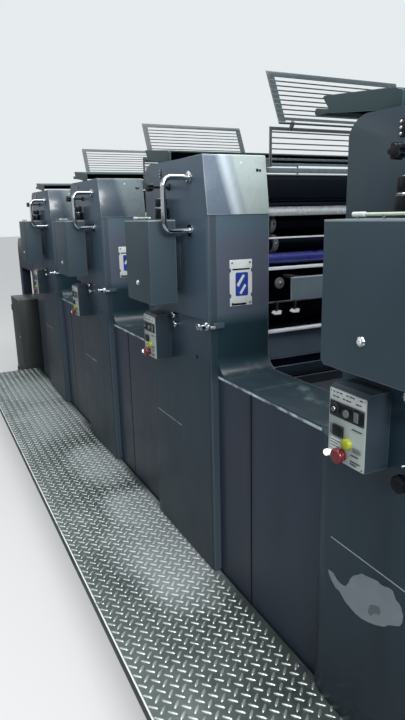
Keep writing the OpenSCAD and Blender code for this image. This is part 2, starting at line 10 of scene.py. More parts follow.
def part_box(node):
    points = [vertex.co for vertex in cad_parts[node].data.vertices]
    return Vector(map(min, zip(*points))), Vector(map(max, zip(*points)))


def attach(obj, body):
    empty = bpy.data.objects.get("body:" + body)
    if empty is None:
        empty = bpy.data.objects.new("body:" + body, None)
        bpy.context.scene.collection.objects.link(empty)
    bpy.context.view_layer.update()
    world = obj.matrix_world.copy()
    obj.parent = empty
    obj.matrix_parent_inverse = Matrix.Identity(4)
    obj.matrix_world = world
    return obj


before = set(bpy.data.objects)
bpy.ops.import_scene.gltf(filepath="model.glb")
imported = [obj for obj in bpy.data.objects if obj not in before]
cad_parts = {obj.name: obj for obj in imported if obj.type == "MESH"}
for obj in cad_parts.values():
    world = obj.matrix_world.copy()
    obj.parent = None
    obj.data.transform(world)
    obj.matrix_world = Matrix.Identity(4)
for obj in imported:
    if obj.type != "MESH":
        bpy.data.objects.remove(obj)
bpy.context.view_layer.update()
rng = random.Random(11)

# Where the towers stand, and the planes that the fittings sit on. Pieces of a unit are drawn
# with x counted from its tower's end face, and then repeated at every tower.
TOWER_X = [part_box(f"unit{k}_tower_covers")[1].x for k in range(1, 5)]
FIRST_TOWER = TOWER_X[:1]
PITCH = TOWER_X[0] - TOWER_X[1]
WALL_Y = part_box("unit1_side_frames")[0].y
COVER_Y = WALL_Y - 0.035
HALF_GAP = -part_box("unit1_cylinder")[0].y - 0.02
SEAM_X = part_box("unit1_side_frames")[1].x + 0.005
PANEL_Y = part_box("control_panels")[0].y
BOX_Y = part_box("side_boxes")[0].y
BOARD_LOW, BOARD_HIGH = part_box("footboards")
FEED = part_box("feeder_frames")
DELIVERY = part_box("delivery_frames")
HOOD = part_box("delivery_hood")
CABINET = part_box("delivery_cabinet")
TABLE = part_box("feed_table")
MM = 0.001
ALONG, ACROSS, UP, OUT = Vector((1, 0, 0)), Vector((0, 1, 0)), Vector((0, 0, 1)), Vector((0, -1, 0))


# Materials. A colour of three numbers is in 0 to 255 screen values, one of four is linear.
def srgb(r, g, b):
    """A screen colour as linear light."""
    shares = [c / 255 for c in (r, g, b)]
    return tuple(c / 12.92 if c < 0.0405 else ((c + 0.055) / 1.055) ** 2.4 for c in shares) + (1.0,)


class Shader:
    """A node tree with short calls for nodes and links."""

    def __init__(self, tree):
        self.tree = tree

    def add(self, kind, inputs=None, **settings):
        made = self.tree.nodes.new(kind)
        for key, value in settings.items():
            setattr(made, key, value)
        for key, value in (inputs or {}).items():
            self.feed(made, key, value)
        return made

    def feed(self, target, key, value):
        socket = target.inputs[key]
        if isinstance(value, bpy.types.NodeSocket):
            self.tree.links.new(value, socket)
        else:
            socket.default_value = srgb(*value) if socket.type == "RGBA" and len(value) == 3 else value

    def math(self, operation, a, b=0.0, clamp=False):
        return self.add("ShaderNodeMath", {0: a, 1: b}, operation=operation, use_clamp=clamp).outputs[0]

    def times(self, a, b, clamp=False):
        return self.math("MULTIPLY", a, b, clamp)

    def plus(self, a, b, clamp=False):
        return self.math("ADD", a, b, clamp)

    def minus(self, a, b, clamp=False):
        return self.math("SUBTRACT", a, b, clamp)

    def most(self, a, b):
        return self.math("MAXIMUM", a, b)

    def size(self, a):
        return self.math("ABSOLUTE", a)

    def dot(self, a, b):
        return self.add("ShaderNodeVectorMath", {0: a, 1: b}, operation="DOT_PRODUCT").outputs["Value"]

    def mix(self, factor, a, b):
        return self.add("ShaderNodeMix", {0: factor, 6: a, 7: b}, data_type="RGBA").outputs[2]

    def ramp(self, value, low, high, start=0.0, end=1.0):
        limits = {"Value": value, "From Min": low, "From Max": high, "To Min": start, "To Max": end}
        return self.add("ShaderNodeMapRange", limits).outputs[0]

    def coords(self, stretch=None):
        """Object coordinates, multiplied by stretch where one is given."""
        where = self.add("ShaderNodeTexCoord").outputs["Object"]
        if stretch is None:
            return where
        return self.add("ShaderNodeVectorMath", {0: where, 1: stretch}, operation="MULTIPLY").outputs[0]

    def noise(self, scale, detail, roughness=0.5, where=None, **more):
        inputs = {"Scale": scale, "Detail": detail, "Roughness": roughness, **more}
        inputs["Vector"] = self.coords() if where is None else where
        return self.add("ShaderNodeTexNoise", inputs).outputs[0]

    def bump(self, height, strength, distance):
        inputs = {"Height": height, "Strength": strength, "Distance": distance}
        return self.add("ShaderNodeBump", inputs).outputs[0]

    def split(self, vector):
        return self.add("ShaderNodeSeparateXYZ", {0: vector}).outputs

    def place(self):
        return self.split(self.coords())

    def facing(self):
        return self.split(self.add("ShaderNodeNewGeometry").outputs["Normal"])


class Material(Shader):
    """A new material and its node tree."""

    def __init__(self, name):
        self.made = bpy.data.materials.new(name)
        self.made.use_nodes = True
        super().__init__(self.made.node_tree)

    def surface(self, **inputs):
        """Sets the surface's inputs and gives the finished material."""
        for key, value in inputs.items():
            self.feed(self.tree.nodes["Principled BSDF"], key.replace("_", " "), value)
        return self.made


def shader_group(name, outputs=("Mask",), **inputs):
    """Turns the function below it into a node group; a call of it then places the group in a tree."""
    def build(draw):
        tree = bpy.data.node_groups.new(name, "ShaderNodeTree")
        for key, value in inputs.items():
            kind = "NodeSocketVector" if isinstance(value, tuple) else "NodeSocketFloat"
            socket = tree.interface.new_socket(name=key.replace("_", " "), in_out="INPUT", socket_type=kind)
            socket.default_value = value
        for key in outputs:
            tree.interface.new_socket(name=key, in_out="OUTPUT", socket_type="NodeSocketFloat")
        given, out = tree.nodes.new("NodeGroupInput"), tree.nodes.new("NodeGroupOutput")
        s = Shader(tree)
        drawn = draw(s, *given.outputs[:len(inputs)])
        for key, value in zip(outputs, drawn if isinstance(drawn, tuple) else (drawn,)):
            s.feed(out, key, value)

        def placed(s, **values):
            values = {key.replace("_", " "): value for key, value in values.items()}
            sockets = s.add("ShaderNodeGroup", values, node_tree=tree).outputs
            return sockets[0] if len(outputs) == 1 else sockets
        return placed
    return build


@shader_group("Paint mottle", ("Tone",), Scale=2.0, Contrast=1.0)
def mottle(s, scale, contrast):
    """Uneven tone of old paint: broad clouds with finer speckle in them."""
    both = s.plus(s.times(s.noise(scale, 5.0, 0.6), 0.8), s.times(s.noise(s.times(scale, 14.0), 3.0), 0.2))
    return s.plus(s.times(s.minus(both, 0.5), contrast), 0.5, clamp=True)


@shader_group("Band", Axis=(0.0, 0.0, 1.0), Low=0.0, High=1.0, Soft=0.001)
def band_mask(s, axis, low, high, soft):
    """Mask of what lies between two limits along an axis, on both sides of the press alike."""
    x, y, z = s.place()
    along = s.dot(s.add("ShaderNodeCombineXYZ", {0: x, 1: s.size(y), 2: z}).outputs[0], axis)
    return s.times(s.ramp(along, s.minus(low, soft), low), s.ramp(along, s.plus(high, soft), high))


@shader_group("End face", Low=0.0, High=3.0, Soft=0.05)
def end_face_mask(s, low, high, soft):
    """Mask of the surfaces that face the feeder's end, between two heights."""
    return s.times(s.ramp(s.facing()["X"], 0.5, 0.9), band_mask(s, Low=low, High=high, Soft=soft))


HAZE_SPOTS = [(0.62, -0.9, 0.5), (0.2, -0.88, 0.34), (-0.45, -0.9, 0.4), (-1.45, -0.95, 0.6),
              (-2.2, -0.92, 0.55), (1.55, 1.00, 0.4), (-0.9, 0.95, 0.44), (2.6, -0.98, 0.36)]


@shader_group("Tread haze", Break_up=1.4)
def tread_haze(s, break_up):
    """Mask of the footboards' pale, dried-on haze, gathered around a few places."""
    x, y, z = s.place()
    haze = 0.0
    for hx, hy, reach in HAZE_SPOTS:
        along, across = [s.math("POWER", s.minus(a, b), 2.0) for a, b in ((x, hx), (y, hy))]
        haze = s.most(haze, s.ramp(s.plus(along, s.times(across, 3.0)), reach * reach, 0.0))
    broken = s.times(s.minus(s.noise(3.2, 9.0, 0.6), 0.5), break_up)
    return s.ramp(s.plus(haze, broken), 0.1, 0.8, 0.0, 0.8)


@shader_group("Edge wear", Width=0.004, Amount=0.5, Break_up=30.0)
def edge_wear(s, width, amount, break_up):
    """Mask of rubbed corners, where a widened normal leaves the true one."""
    wide = s.add("ShaderNodeBevel", {"Radius": width}, samples=6).outputs[0]
    edge = s.ramp(s.dot(wide, s.add("ShaderNodeNewGeometry").outputs["True Normal"]), 0.995, 0.86)
    limit = s.minus(0.95, s.times(amount, 0.6))
    rough = s.ramp(s.plus(s.times(edge, 0.55), s.noise(break_up, 6.0, 0.7)), limit, s.plus(limit, 0.12))
    return s.times(rough, edge, clamp=True)


@shader_group("Scratches", Density=0.4, Scale=30.0, Stretch=(1.0, 1.0, 0.06))
def scratch_mask(s, density, scale, stretch):
    """Mask of fine straight scratches and scuffs, stretched along one axis."""
    limit = s.minus(0.78, s.times(density, 0.2))
    fine = s.ramp(s.noise(scale, 8.0, 0.75, s.coords(stretch), Distortion=0.3), limit, s.plus(limit, 0.06))
    return s.times(fine, s.ramp(s.noise(3.0, 2.0), 0.4, 0.6), clamp=True)


@shader_group("Dust", Amount=0.5, Scale=6.0)
def dust_mask(s, amount, scale):
    """Mask of dust on surfaces that face up."""
    lying = s.times(s.ramp(s.facing()["Z"], 0.3, 0.95), s.ramp(s.noise(scale, 7.0, 0.65), 0.3, 0.75))
    return s.times(lying, amount, clamp=True)


@shader_group("Orange peel", ("Height",), Scale=260.0)
def peel(s, scale):
    """Height of sprayed paint's orange peel."""
    return s.noise(scale, 2.0)


@shader_group("Ground grain", ("Tone", "Height"), Stretch=(1.0, 0.02, 1.0), Scale=220.0)
def ground_grain(s, stretch, scale):
    """Turned or ground metal: fine lines along the given axis, as a tone and a height."""
    lines = s.noise(scale, 4.0, 0.6, s.coords(stretch))
    return s.ramp(lines, 0.3, 0.7), lines


@shader_group("Low darkening", Top=1.0, Amount=0.6)
def low_darkening_mask(s, top, amount):
    """Mask that is stronger towards the floor and in streaks."""
    low = s.ramp(s.math("DIVIDE", s.place()["Z"], top), 1.0, 0.15)
    runs = s.ramp(s.noise(9.0, 6.0, 0.6, s.coords((1.0, 1.0, 0.12))), 0.42, 0.72)
    return s.times(s.plus(s.times(low, 0.8), s.times(runs, 0.35)), amount, clamp=True)


@shader_group("Ink spots", Scale=40.0, Amount=0.3)
def ink_spots(s, scale, amount):
    """Mask of small ink and oil spots."""
    cells = s.add("ShaderNodeTexVoronoi", {"Vector": s.coords(), "Scale": scale}).outputs["Distance"]
    limit = s.times(s.ramp(s.noise(6.0, 3.0), 0.45, 0.75), amount)
    return s.ramp(cells, limit, s.times(limit, 0.7))


def wall_ledge(s, colour, edges, top_colour):
    """Colour of the low walls' rubbed tops, and a bright rim line along their outer edges that is partly
    rubbed paint and partly painted highlight.
    """
    x, y, z = s.place()
    height = s.times(s.ramp(z, 0.97, 1.0), s.ramp(z, 1.23, 1.2))
    rub = s.noise(9.0, 9.0, 0.74)
    up = s.times(s.ramp(s.facing()["Z"], 0.35, 0.9), height)
    colour = s.mix(up, colour, s.mix(s.ramp(rub, 0.55, 0.8), top_colour, (112, 132, 136)))
    # Bright rim line along the outer edge: partly rubbed paint, partly painted highlight.
    line = s.times(s.ramp(z, 1.0935, 1.0955), s.ramp(z, 1.105, 1.103))
    rim = s.times(line, s.ramp(s.size(y), 0.747, 0.752))
    return colour, s.most(edges, s.times(rim, s.ramp(rub, 0.4, 0.56)))


def machine_paint(name, base, shade, worn, roughness=0.34, wear=0.5, dust=0.35, scratches=0.35, coat=0.25,
                  low=None, low_top=1.1, ledge=None, tint=None, areas=(), shine=0.4, quiet=None):
    """Machine enamel with wear, dust and a colour that darkens towards the floor. areas are (mask maker,
    colour) pairs for what is painted or stained otherwise and for painted light and shade; quiet is a mask
    maker for edges that no one rubs against."""
    s = Material(name)
    tone = mottle(s, Scale=1.3, Contrast=1.9)
    colour = s.mix(tone, shade, base)
    if tint is not None:
        colour = s.mix(s.ramp(s.noise(1.7, 3.0), 0.45, 0.7, 0.0, 0.45), colour, tint)
    if low is not None:
        # Darker colour towards the floor, with run streaks.
        colour = s.mix(low_darkening_mask(s, Top=low_top, Amount=0.9), colour, low)
    for mask, other in areas:
        colour = s.mix(mask(s), colour, other)
    scuffs = scratch_mask(s, Density=scratches, Scale=26.0)
    colour = s.mix(s.times(scuffs, 0.22), colour, worn)
    edges = s.times(edge_wear(s, Width=0.005, Amount=wear, Break_up=24.0), min(1.0, wear + 0.25))
    if quiet is not None:
        edges = s.times(edges, s.minus(1.0, quiet(s)))
    if ledge is not None:
        colour, edges = wall_ledge(s, colour, edges, ledge)
        # Edge wear and the ledge's rim line share this bright colour, partly rubbed paint and partly painted
        # highlight.
        worn = (190, 208, 211)
    colour = s.mix(edges, colour, worn)
    lying = dust_mask(s, Amount=dust, Scale=5.0)
    colour = s.mix(lying, colour, (150, 152, 148))
    rough = s.ramp(tone, 0.2, 0.8, roughness - 0.07, roughness + 0.09)
    rough = s.plus(s.plus(rough, s.times(lying, 0.35), clamp=True), s.times(scuffs, 0.12), clamp=True)
    height = s.minus(peel(s, Scale=240.0), s.times(edges, 0.6))
    return s.surface(Base_Color=colour, Roughness=rough, Coat_Weight=coat, Coat_Roughness=0.12,
                     Specular_IOR_Level=shine, Normal=s.bump(height, 0.12, 0.0006))


def metal(name, light, dark, roughness=0.25, stretch=(1.0, 0.02, 1.0), metallic=1.0, film=None, areas=()):
    """Ground or plated metal, stained. film is the colour and mask maker of ink or dirt on it."""
    s = Material(name)
    grain, height = ground_grain(s, Scale=220.0, Stretch=stretch)
    stain = mottle(s, Scale=5.0, Contrast=2.2)
    colour = s.mix(s.times(grain, stain), dark, light)
    colour = s.mix(s.times(ink_spots(s, Scale=55.0, Amount=0.25), 0.5), colour, dark)
    rough = s.ramp(stain, 0.2, 0.8, roughness + 0.1, roughness)
    for mask, other in areas:
        colour = s.mix(mask(s), colour, other)
    shine, gloss = metallic, 0.5
    if film is not None:
        covered = film[1](s)
        colour = s.mix(covered, colour, film[0])
        gloss = s.minus(0.5, s.times(covered, 0.4))
        shine = s.minus(metallic, s.times(covered, metallic * 0.9))
        rough = s.plus(rough, s.times(covered, 0.06))
    return s.surface(Base_Color=colour, Roughness=rough, Metallic=shine, Specular_IOR_Level=gloss,
                     Normal=s.bump(height, 0.08, 0.0004))


def plastic(name, colour, shade, roughness=0.35, coat=0.0, rub=0.35, shine=0.5, **more):
    """Moulded or enamelled small part with rubbed edges and fingermarks."""
    s = Material(name)
    tone = mottle(s, Scale=22.0, Contrast=1.6)
    edges = edge_wear(s, Width=0.0015, Amount=0.6, Break_up=90.0)
    mixed = s.mix(s.times(edges, rub), s.mix(tone, shade, colour), (190, 190, 190))
    return s.surface(Base_Color=mixed, Roughness=s.ramp(tone, 0.2, 0.8, roughness - 0.08, roughness + 0.12),
                     Coat_Weight=coat, Specular_IOR_Level=shine,
                     Normal=s.bump(peel(s, Scale=420.0), 0.08, 0.0003), **more)


def painted_seam_shade(s):
    """Painted shade beside the open joints between the units' low walls."""
    x, y, z = s.place()
    off = s.math("PINGPONG", s.minus(x, SEAM_X), PITCH / 2)
    near = s.times(s.ramp(off, 0.028, 0.009), s.ramp(s.size(y), 0.755, 0.758))
    return s.times(near, s.ramp(z, 1.1, 1.08, 0.0, 0.8))


def end_face(low, high, strength=1.0, soft=0.05):
    """Mask of the towers' end faces between two heights."""
    return lambda s: s.times(end_face_mask(s, Low=low, High=high, Soft=soft), strength)


def between(axis, low, high, strength=1.0, soft=0.001):
    """Mask between two limits on one axis; Y counts from the middle of the press outwards."""
    line = [float(axis == key) for key in "XYZ"]
    return lambda s: s.times(band_mask(s, Axis=line, Low=low, High=high, Soft=soft), strength)


def both(first, second):
    return lambda s: s.times(first(s), second(s))


def sheen_offset(s):
    """Distance across a cap from the slanting line of its painted sheen."""
    x, y, z = s.place()
    return s.minus(s.plus(s.times(z, 0.22), 0.293), s.size(y))


# Painted sheen: a bright band along the slanting line.
def painted_sheen_band(s):
    return s.times(s.ramp(s.size(sheen_offset(s)), 0.034, 0.006), 0.9)


# Painted sheen: the lighter part of the cap inside the line.
def painted_sheen_inside(s):
    return s.ramp(sheen_offset(s), 0.006, 0.045, 0.0, 0.9)


# Painted shade in the concave fillets where the towers' end faces meet the ledges.
FILLET_PAINTED_SHADE = (24, 46, 54)
BACK_UNITS = between("X", -3.0, 0.3)
SLATE = machine_paint(
    "slate_paint", (46, 58, 74), (38, 48, 62), (120, 132, 138), wear=0.2, scratches=0.3, dust=0.04,
    low=(24, 30, 42), ledge=(30, 46, 54), tint=(50, 52, 68), shine=0.3, coat=0.12,
    quiet=between("Y", 0.7515, 0.767),
    areas=[
        # End faces painted lighter where the light falls on them: painted light, with a purplish band across
        # them at mid height.
        (end_face(1.16, 1.8, 1.0, 0.06), (78, 94, 107)), (end_face(1.38, 1.6, 0.4, 0.06), (86, 80, 96)),
        # Painted shade in the fillets under the ledges and beside the joints of the low walls.
        (end_face(1.12, 1.3, 0.9), FILLET_PAINTED_SHADE), (painted_seam_shade, (30, 36, 46))])
COVER = machine_paint(
    "cover_paint", (42, 68, 80), (34, 54, 66), (110, 122, 130), 0.38, coat=0.1, wear=0.1, scratches=0.3,
    dust=0.1, low=(19, 24, 36), low_top=1.5, tint=(42, 52, 66), shine=0.3, quiet=between("Y", 0.7515, 0.83),
    areas=[
        # Upper covers of the units further back painted lighter where light falls on them: painted light.
        (both(between("X", -3.0, 0.95), between("Z", 1.36, 1.95, 0.85, 0.22)), (70, 86, 101)),
        # End faces painted lighter: painted light; painted shade in the fillets under the ledges.
        (end_face(0.2, 1.95), (62, 74, 84)), (end_face(1.12, 1.3, 0.6), FILLET_PAINTED_SHADE)])
CAP = machine_paint(
    "cap_sheet", (104, 119, 134), (92, 106, 121), (205, 210, 210), 0.26, wear=0.25, scratches=0.5, coat=0.4,
    dust=0.15,
    areas=[
        # Painted sheen on the caps; the caps of the units further back are painted darker and their sheen
        # dimmer: painted shade.
        (painted_sheen_inside, (168, 181, 179)), (painted_sheen_band, (187, 200, 208)), (BACK_UNITS, (64, 77, 88)),
        (both(BACK_UNITS, painted_sheen_inside), (106, 120, 124))])
BASE_CAST = machine_paint(
    "base_paint", (54, 58, 62), (38, 41, 45), (110, 112, 112), 0.5, dust=0.6, coat=0.0, wear=0.4)
BOX_PAINT = machine_paint(
    "box_paint", (66, 81, 90), (57, 72, 81), (140, 152, 156), 0.5, wear=0.05, scratches=0.25, dust=0.1,
    shine=0.2, coat=0.04,
    areas=[
        # Box fronts painted darker towards the top, painted shade that evens out the light on them; end faces
        # painted darker, painted shade.
        (between("Z", 1.6, 1.75, 0.7, 0.2), (46, 62, 72)), (end_face(1.0, 1.8, 0.9), (54, 68, 77)),
        # Painted highlight along the boxes' top edge; the mount between box and tower is painted dark as
        # painted shadow.
        (between("Z", 1.6915, 1.6965, 0.7), (150, 162, 166)), (between("Y", 0.0, 0.8505), (24, 34, 44))])
PANEL_PAINT = machine_paint(
    "panel_case_paint", (54, 66, 76), (44, 54, 62), (110, 118, 120), wear=0.1, dust=0.0, shine=0.2, coat=0.05)
HOOD_PAINT = machine_paint(
    "hood_paint", (48, 72, 76), (28, 48, 54), (96, 112, 110), 0.42, dust=0.03, wear=0.25, coat=0.05,
    shine=0.25)
DECK = machine_paint(
    "deck_paint", (52, 60, 68), (32, 38, 46), (96, 102, 106), 0.42, dust=0.12, scratches=0.5, wear=0.3)
CABINET_PAINT = machine_paint(
    "cabinet_paint", (22, 32, 33), (14, 22, 23), (70, 80, 80), 0.45, wear=0.3, dust=0.06)
BRACKET_PAINT = machine_paint("bracket_paint", (44, 48, 52), (30, 33, 37), (90, 92, 94), 0.5)
GUARD_PAINT = machine_paint(
    "guard_lacquer", (50, 64, 70), (36, 48, 54), (120, 128, 132), wear=0.3, dust=0.05, shine=0.3)
WIRE_PAINT = machine_paint("wire_lacquer", (58, 64, 70), (42, 48, 54), (130, 134, 140), wear=0.3, dust=0.1)
INK_LACQUER = machine_paint(
    "ink_lacquer", (2, 10, 22), (1, 5, 12), (24, 34, 52), 0.4, coat=0.05, dust=0.0, scratches=0.4, wear=0.3,
    shine=0.12)
PANEL_SHEET = machine_paint(
    "panel_sheet", (142, 160, 170), (112, 128, 138), (200, 206, 212), 0.22, coat=0.4,
    areas=[(between("Z", 1.453, 1.46), (225, 232, 240))])
NIP_PAINT = machine_paint(
    "nip_guard_paint", (108, 122, 138), (84, 96, 110), (180, 188, 198), 0.26, coat=0.3,
    areas=[
        (between("Z", 1.242, 1.262), (205, 208, 218)), (between("Z", 1.02, 1.11, 1.0, 0.03), (40, 52, 64))])
TABLE_STEEL = metal("table_steel", (168, 172, 174), (120, 124, 128), 0.3, stretch=(0.02, 1.0, 1.0))
CHROME = metal(
    "chrome_plate", (226, 230, 232), (176, 182, 188), 0.07,
    film=((76, 90, 102), both(between("Y", 0.0, 0.7795), between("Z", 1.29, 1.316))))
STRAP_STEEL = metal("strap_steel", (216, 224, 228), (168, 178, 184), 0.2, metallic=0.5)
STEEL = metal("ground_steel", (190, 192, 196), (120, 124, 130), 0.22)
ROLLER_STEEL = metal(
    "roller_steel", (236, 240, 240), (198, 206, 210), 0.22, metallic=0.25,
    film=((3, 9, 18), between("Z", 1.56, 1.7)))
# The bars' near-white colour is partly their steel and partly painted highlight.
BAR_STEEL = metal(
    "bright_bar", (255, 255, 255), (232, 240, 252), 0.22, metallic=0.02,
    film=((20, 22, 38), between("Z", 1.737, 1.752)),
    areas=[(between("Z", 1.848, 2.2), (90, 106, 114))])
CYLINDER_STEEL = metal(
    "cylinder_steel", (150, 152, 168), (96, 98, 116), 0.2, film=((30, 34, 60), between("Z", 1.0, 1.15)))
HEAD_CAST = metal("head_aluminium", (168, 172, 176), (128, 132, 138), 0.4)
RUBBER = plastic("roller_rubber", (58, 66, 150), (34, 38, 104), 0.3, coat=0.4)
STOP_RED = plastic("stop_red", (124, 16, 28), (84, 8, 18), 0.28, coat=0.5)
KNOB_BLACK = plastic("knob_black", (9, 15, 22), (4, 7, 12), 0.3, rub=0.1, shine=0.2)
PLATE_LIGHT = plastic("control_plate", (176, 188, 184), (150, 164, 158), 0.4)
PLATE_DARK = plastic("plate_dark", (20, 26, 32), (10, 14, 19), 0.3, shine=0.25)
PLATE_GREY = plastic("plate_grey", (122, 128, 128), (96, 102, 104), 0.4)
SIGN_WHITE = plastic("sign_white", (226, 230, 230), (196, 204, 206), 0.3, coat=0.3)
SIGN_BLUE = plastic("sign_blue", (40, 72, 168), (30, 52, 132))
KEY_GREEN = plastic("key_green", (176, 184, 30), (130, 140, 20))
LAMP_WHITE = plastic(
    "lamp_white", (240, 242, 242), (210, 214, 216), 0.15, coat=0.6, Emission_Color=(1.0, 1.0, 0.96, 1.0),
    Emission_Strength=0.9)
# The rails' cream colour is painted highlight, the colour of their bright reflection.
RAIL_PAINTED_HIGHLIGHT = plastic("rail_painted_highlight", (214, 222, 204), (182, 192, 168), 0.3)
STRIPE_WHITE = plastic("stripe_white", (176, 182, 188), (112, 118, 128), 0.5)
PRIMER = plastic("bare_primer", (128, 136, 142), (108, 117, 124), 0.6)
PRIMER_DARK = plastic("bare_spot", (96, 104, 110), (78, 86, 92), 0.6)


def make_wood():
    s = Material("pile_wood")
    grain, height = ground_grain(s, Scale=60.0, Stretch=(0.06, 1.0, 1.0))
    tone = mottle(s, Scale=3.0, Contrast=1.6)
    colour = s.mix(s.times(grain, tone), (112, 88, 60), (176, 148, 108))
    colour = s.mix(edge_wear(s, Width=0.006, Amount=0.7, Break_up=40.0), colour, (150, 128, 96))
    return s.surface(Base_Color=colour, Roughness=0.7, Normal=s.bump(height, 0.25, 0.001))


def make_tread(name, light, dark, dirt, pale, roughness, dirt_share):
    """Steel tread plate with haze and wet-looking dirt, painted shade beside the press and on the outer lip,
    and a bright outer rim, partly rubbed steel and partly painted highlight.
    """
    s = Material(name)
    tone = mottle(s, Scale=2.4, Contrast=2.2)
    filth = s.noise(5.5, 9.0, 0.68)
    dirty = s.ramp(filth, dirt_share, dirt_share + 0.14)
    colour = s.mix(s.times(dirty, 0.8), s.mix(tone, dark, light), dirt)
    colour = s.mix(s.times(ink_spots(s, Scale=34.0, Amount=0.3), 0.6), colour, dirt)
    haze = tread_haze(s, Break_up=1.4)
    colour = s.mix(haze, colour, pale)
    # Painted shade beside the press, in the dirt colour.
    beside = band_mask(s, Axis=(0.0, 1.0, 0.0), Low=0.0, High=0.8, Soft=0.12)
    colour = s.mix(s.times(s.times(beside, s.minus(1.0, haze, clamp=True)), 0.35), colour, dirt)
    past_edge = s.plus(s.size(s.place()["Y"]), BOARD_LOW.y)
    # Bright rim along the outer edge: partly rubbed steel, partly painted highlight.
    rim = s.times(s.ramp(past_edge, -0.007, -0.004), s.ramp(filth, 0.34, 0.46))
    rim = s.times(rim, s.ramp(s.facing()["Z"], 0.3, 0.6))
    colour = s.mix(rim, colour, (226, 232, 230))
    # Outer lip painted dark: painted shade.
    lip = s.times(s.ramp(past_edge, -0.004, -0.001), s.ramp(s.facing()["Z"], 0.5, 0.2))
    colour = s.mix(lip, colour, (34, 40, 40))
    rough = s.plus(s.ramp(tone, 0.2, 0.8, roughness, roughness + 0.16), s.times(dirty, 0.2))
    rough = s.plus(rough, s.times(haze, 0.25), clamp=True)
    shine = s.minus(0.72, s.times(s.most(dirty, haze), 0.62))
    shine = s.times(shine, s.minus(1.0, s.most(lip, rim)))
    return s.surface(Base_Color=colour, Roughness=rough, Metallic=shine,
                     Normal=s.bump(peel(s, Scale=180.0), 0.2, 0.0006))


PILE_WOOD = make_wood()
TREAD = make_tread("tread_plate", (122, 133, 130), (88, 100, 97), (56, 64, 63), (150, 158, 158), 0.3, 0.52)
LUG_STEEL = make_tread(
    "tread_lugs", (214, 222, 220), (172, 183, 181), (104, 112, 111), (182, 190, 190), 0.2, 0.62)


# Rounded edges of the castings and sheets, as modifiers on the frame's own meshes
def geometry_group(name):
    tree = bpy.data.node_groups.new(name, "GeometryNodeTree")
    for way in ("INPUT", "OUTPUT"):
        tree.interface.new_socket(name="Geometry", in_out=way, socket_type="NodeSocketGeometry")
    return tree, Shader(tree), tree.nodes.new("NodeGroupInput").outputs[0], tree.nodes.new("NodeGroupOutput")


def edge_angle(s):
    return s.add("GeometryNodeInputMeshEdgeAngle").outputs["Unsigned Angle"]


def soft_shading():
    """Smooth shading that keeps the edges sharper than 30 degrees."""
    tree, s, given, out = geometry_group("Soft shading")
    smooth = s.math("LESS_THAN", edge_angle(s), math.radians(30))
    faces = s.add("GeometryNodeSetShadeSmooth", {"Geometry": given}, domain="FACE").outputs[0]
    edges = s.add("GeometryNodeSetShadeSmooth", {"Geometry": faces, "Shade Smooth": smooth}, domain="EDGE")
    s.feed(out, 0, edges.outputs[0])
    return tree


FRAME_SIDE_Y = 0.7
WALL_TOP_LOW, WALL_TOP_HIGH = 1.05, 1.176


def edge_weights(name, cover):
    """Bevel weights. Side frames: full along the low walls' outer edges, none where a cover lies against
    them. Covers: full outside, none along the edges that touch the frames."""
    tree, s, given, out = geometry_group(name)
    ends = s.add("GeometryNodeInputMeshEdgeVertices").outputs
    first, second = [s.split(ends[f"Position {i}"]) for i in (1, 2)]
    width = [s.size(end["Y"]) for end in (first, second)]

    def over(a, b):
        return s.math("GREATER_THAN", a, b)

    weight = over(edge_angle(s), math.radians(40))
    if cover:
        weight = s.times(weight, over(s.most(*width), -WALL_Y + 0.002))
    else:
        rise, run = [s.size(s.minus(first[axis], second[axis])) for axis in "ZX"]
        height = s.times(s.plus(first["Z"], second["Z"]), 0.5)
        across = over(s.size(s.minus(*width)), 0.001)
        outer = over(s.math("MINIMUM", *width), FRAME_SIDE_Y)
        level = s.times(over(height, WALL_TOP_LOW), s.math("LESS_THAN", height, WALL_TOP_HIGH))
        flat = s.math("LESS_THAN", rise, s.plus(s.times(run, 8.0), 0.0005))
        covered = s.times(outer, over(height, WALL_TOP_HIGH))
        slight = s.times(s.minus(1.0, s.most(across, covered)), 0.15)
        weight = s.times(weight, s.most(s.times(s.times(outer, level), flat), slight))
    inputs = {"Geometry": given, "Name": "bevel_weight_edge", "Value": weight}
    kept = s.add("GeometryNodeStoreNamedAttribute", inputs, data_type="FLOAT", domain="EDGE")
    s.feed(out, 0, kept.outputs[0])
    return tree


SOFT = soft_shading()
WEIGHTS = {"side_frames": edge_weights("Frame edge weights", False),
           "tower_covers": edge_weights("Cover edge weights", True)}
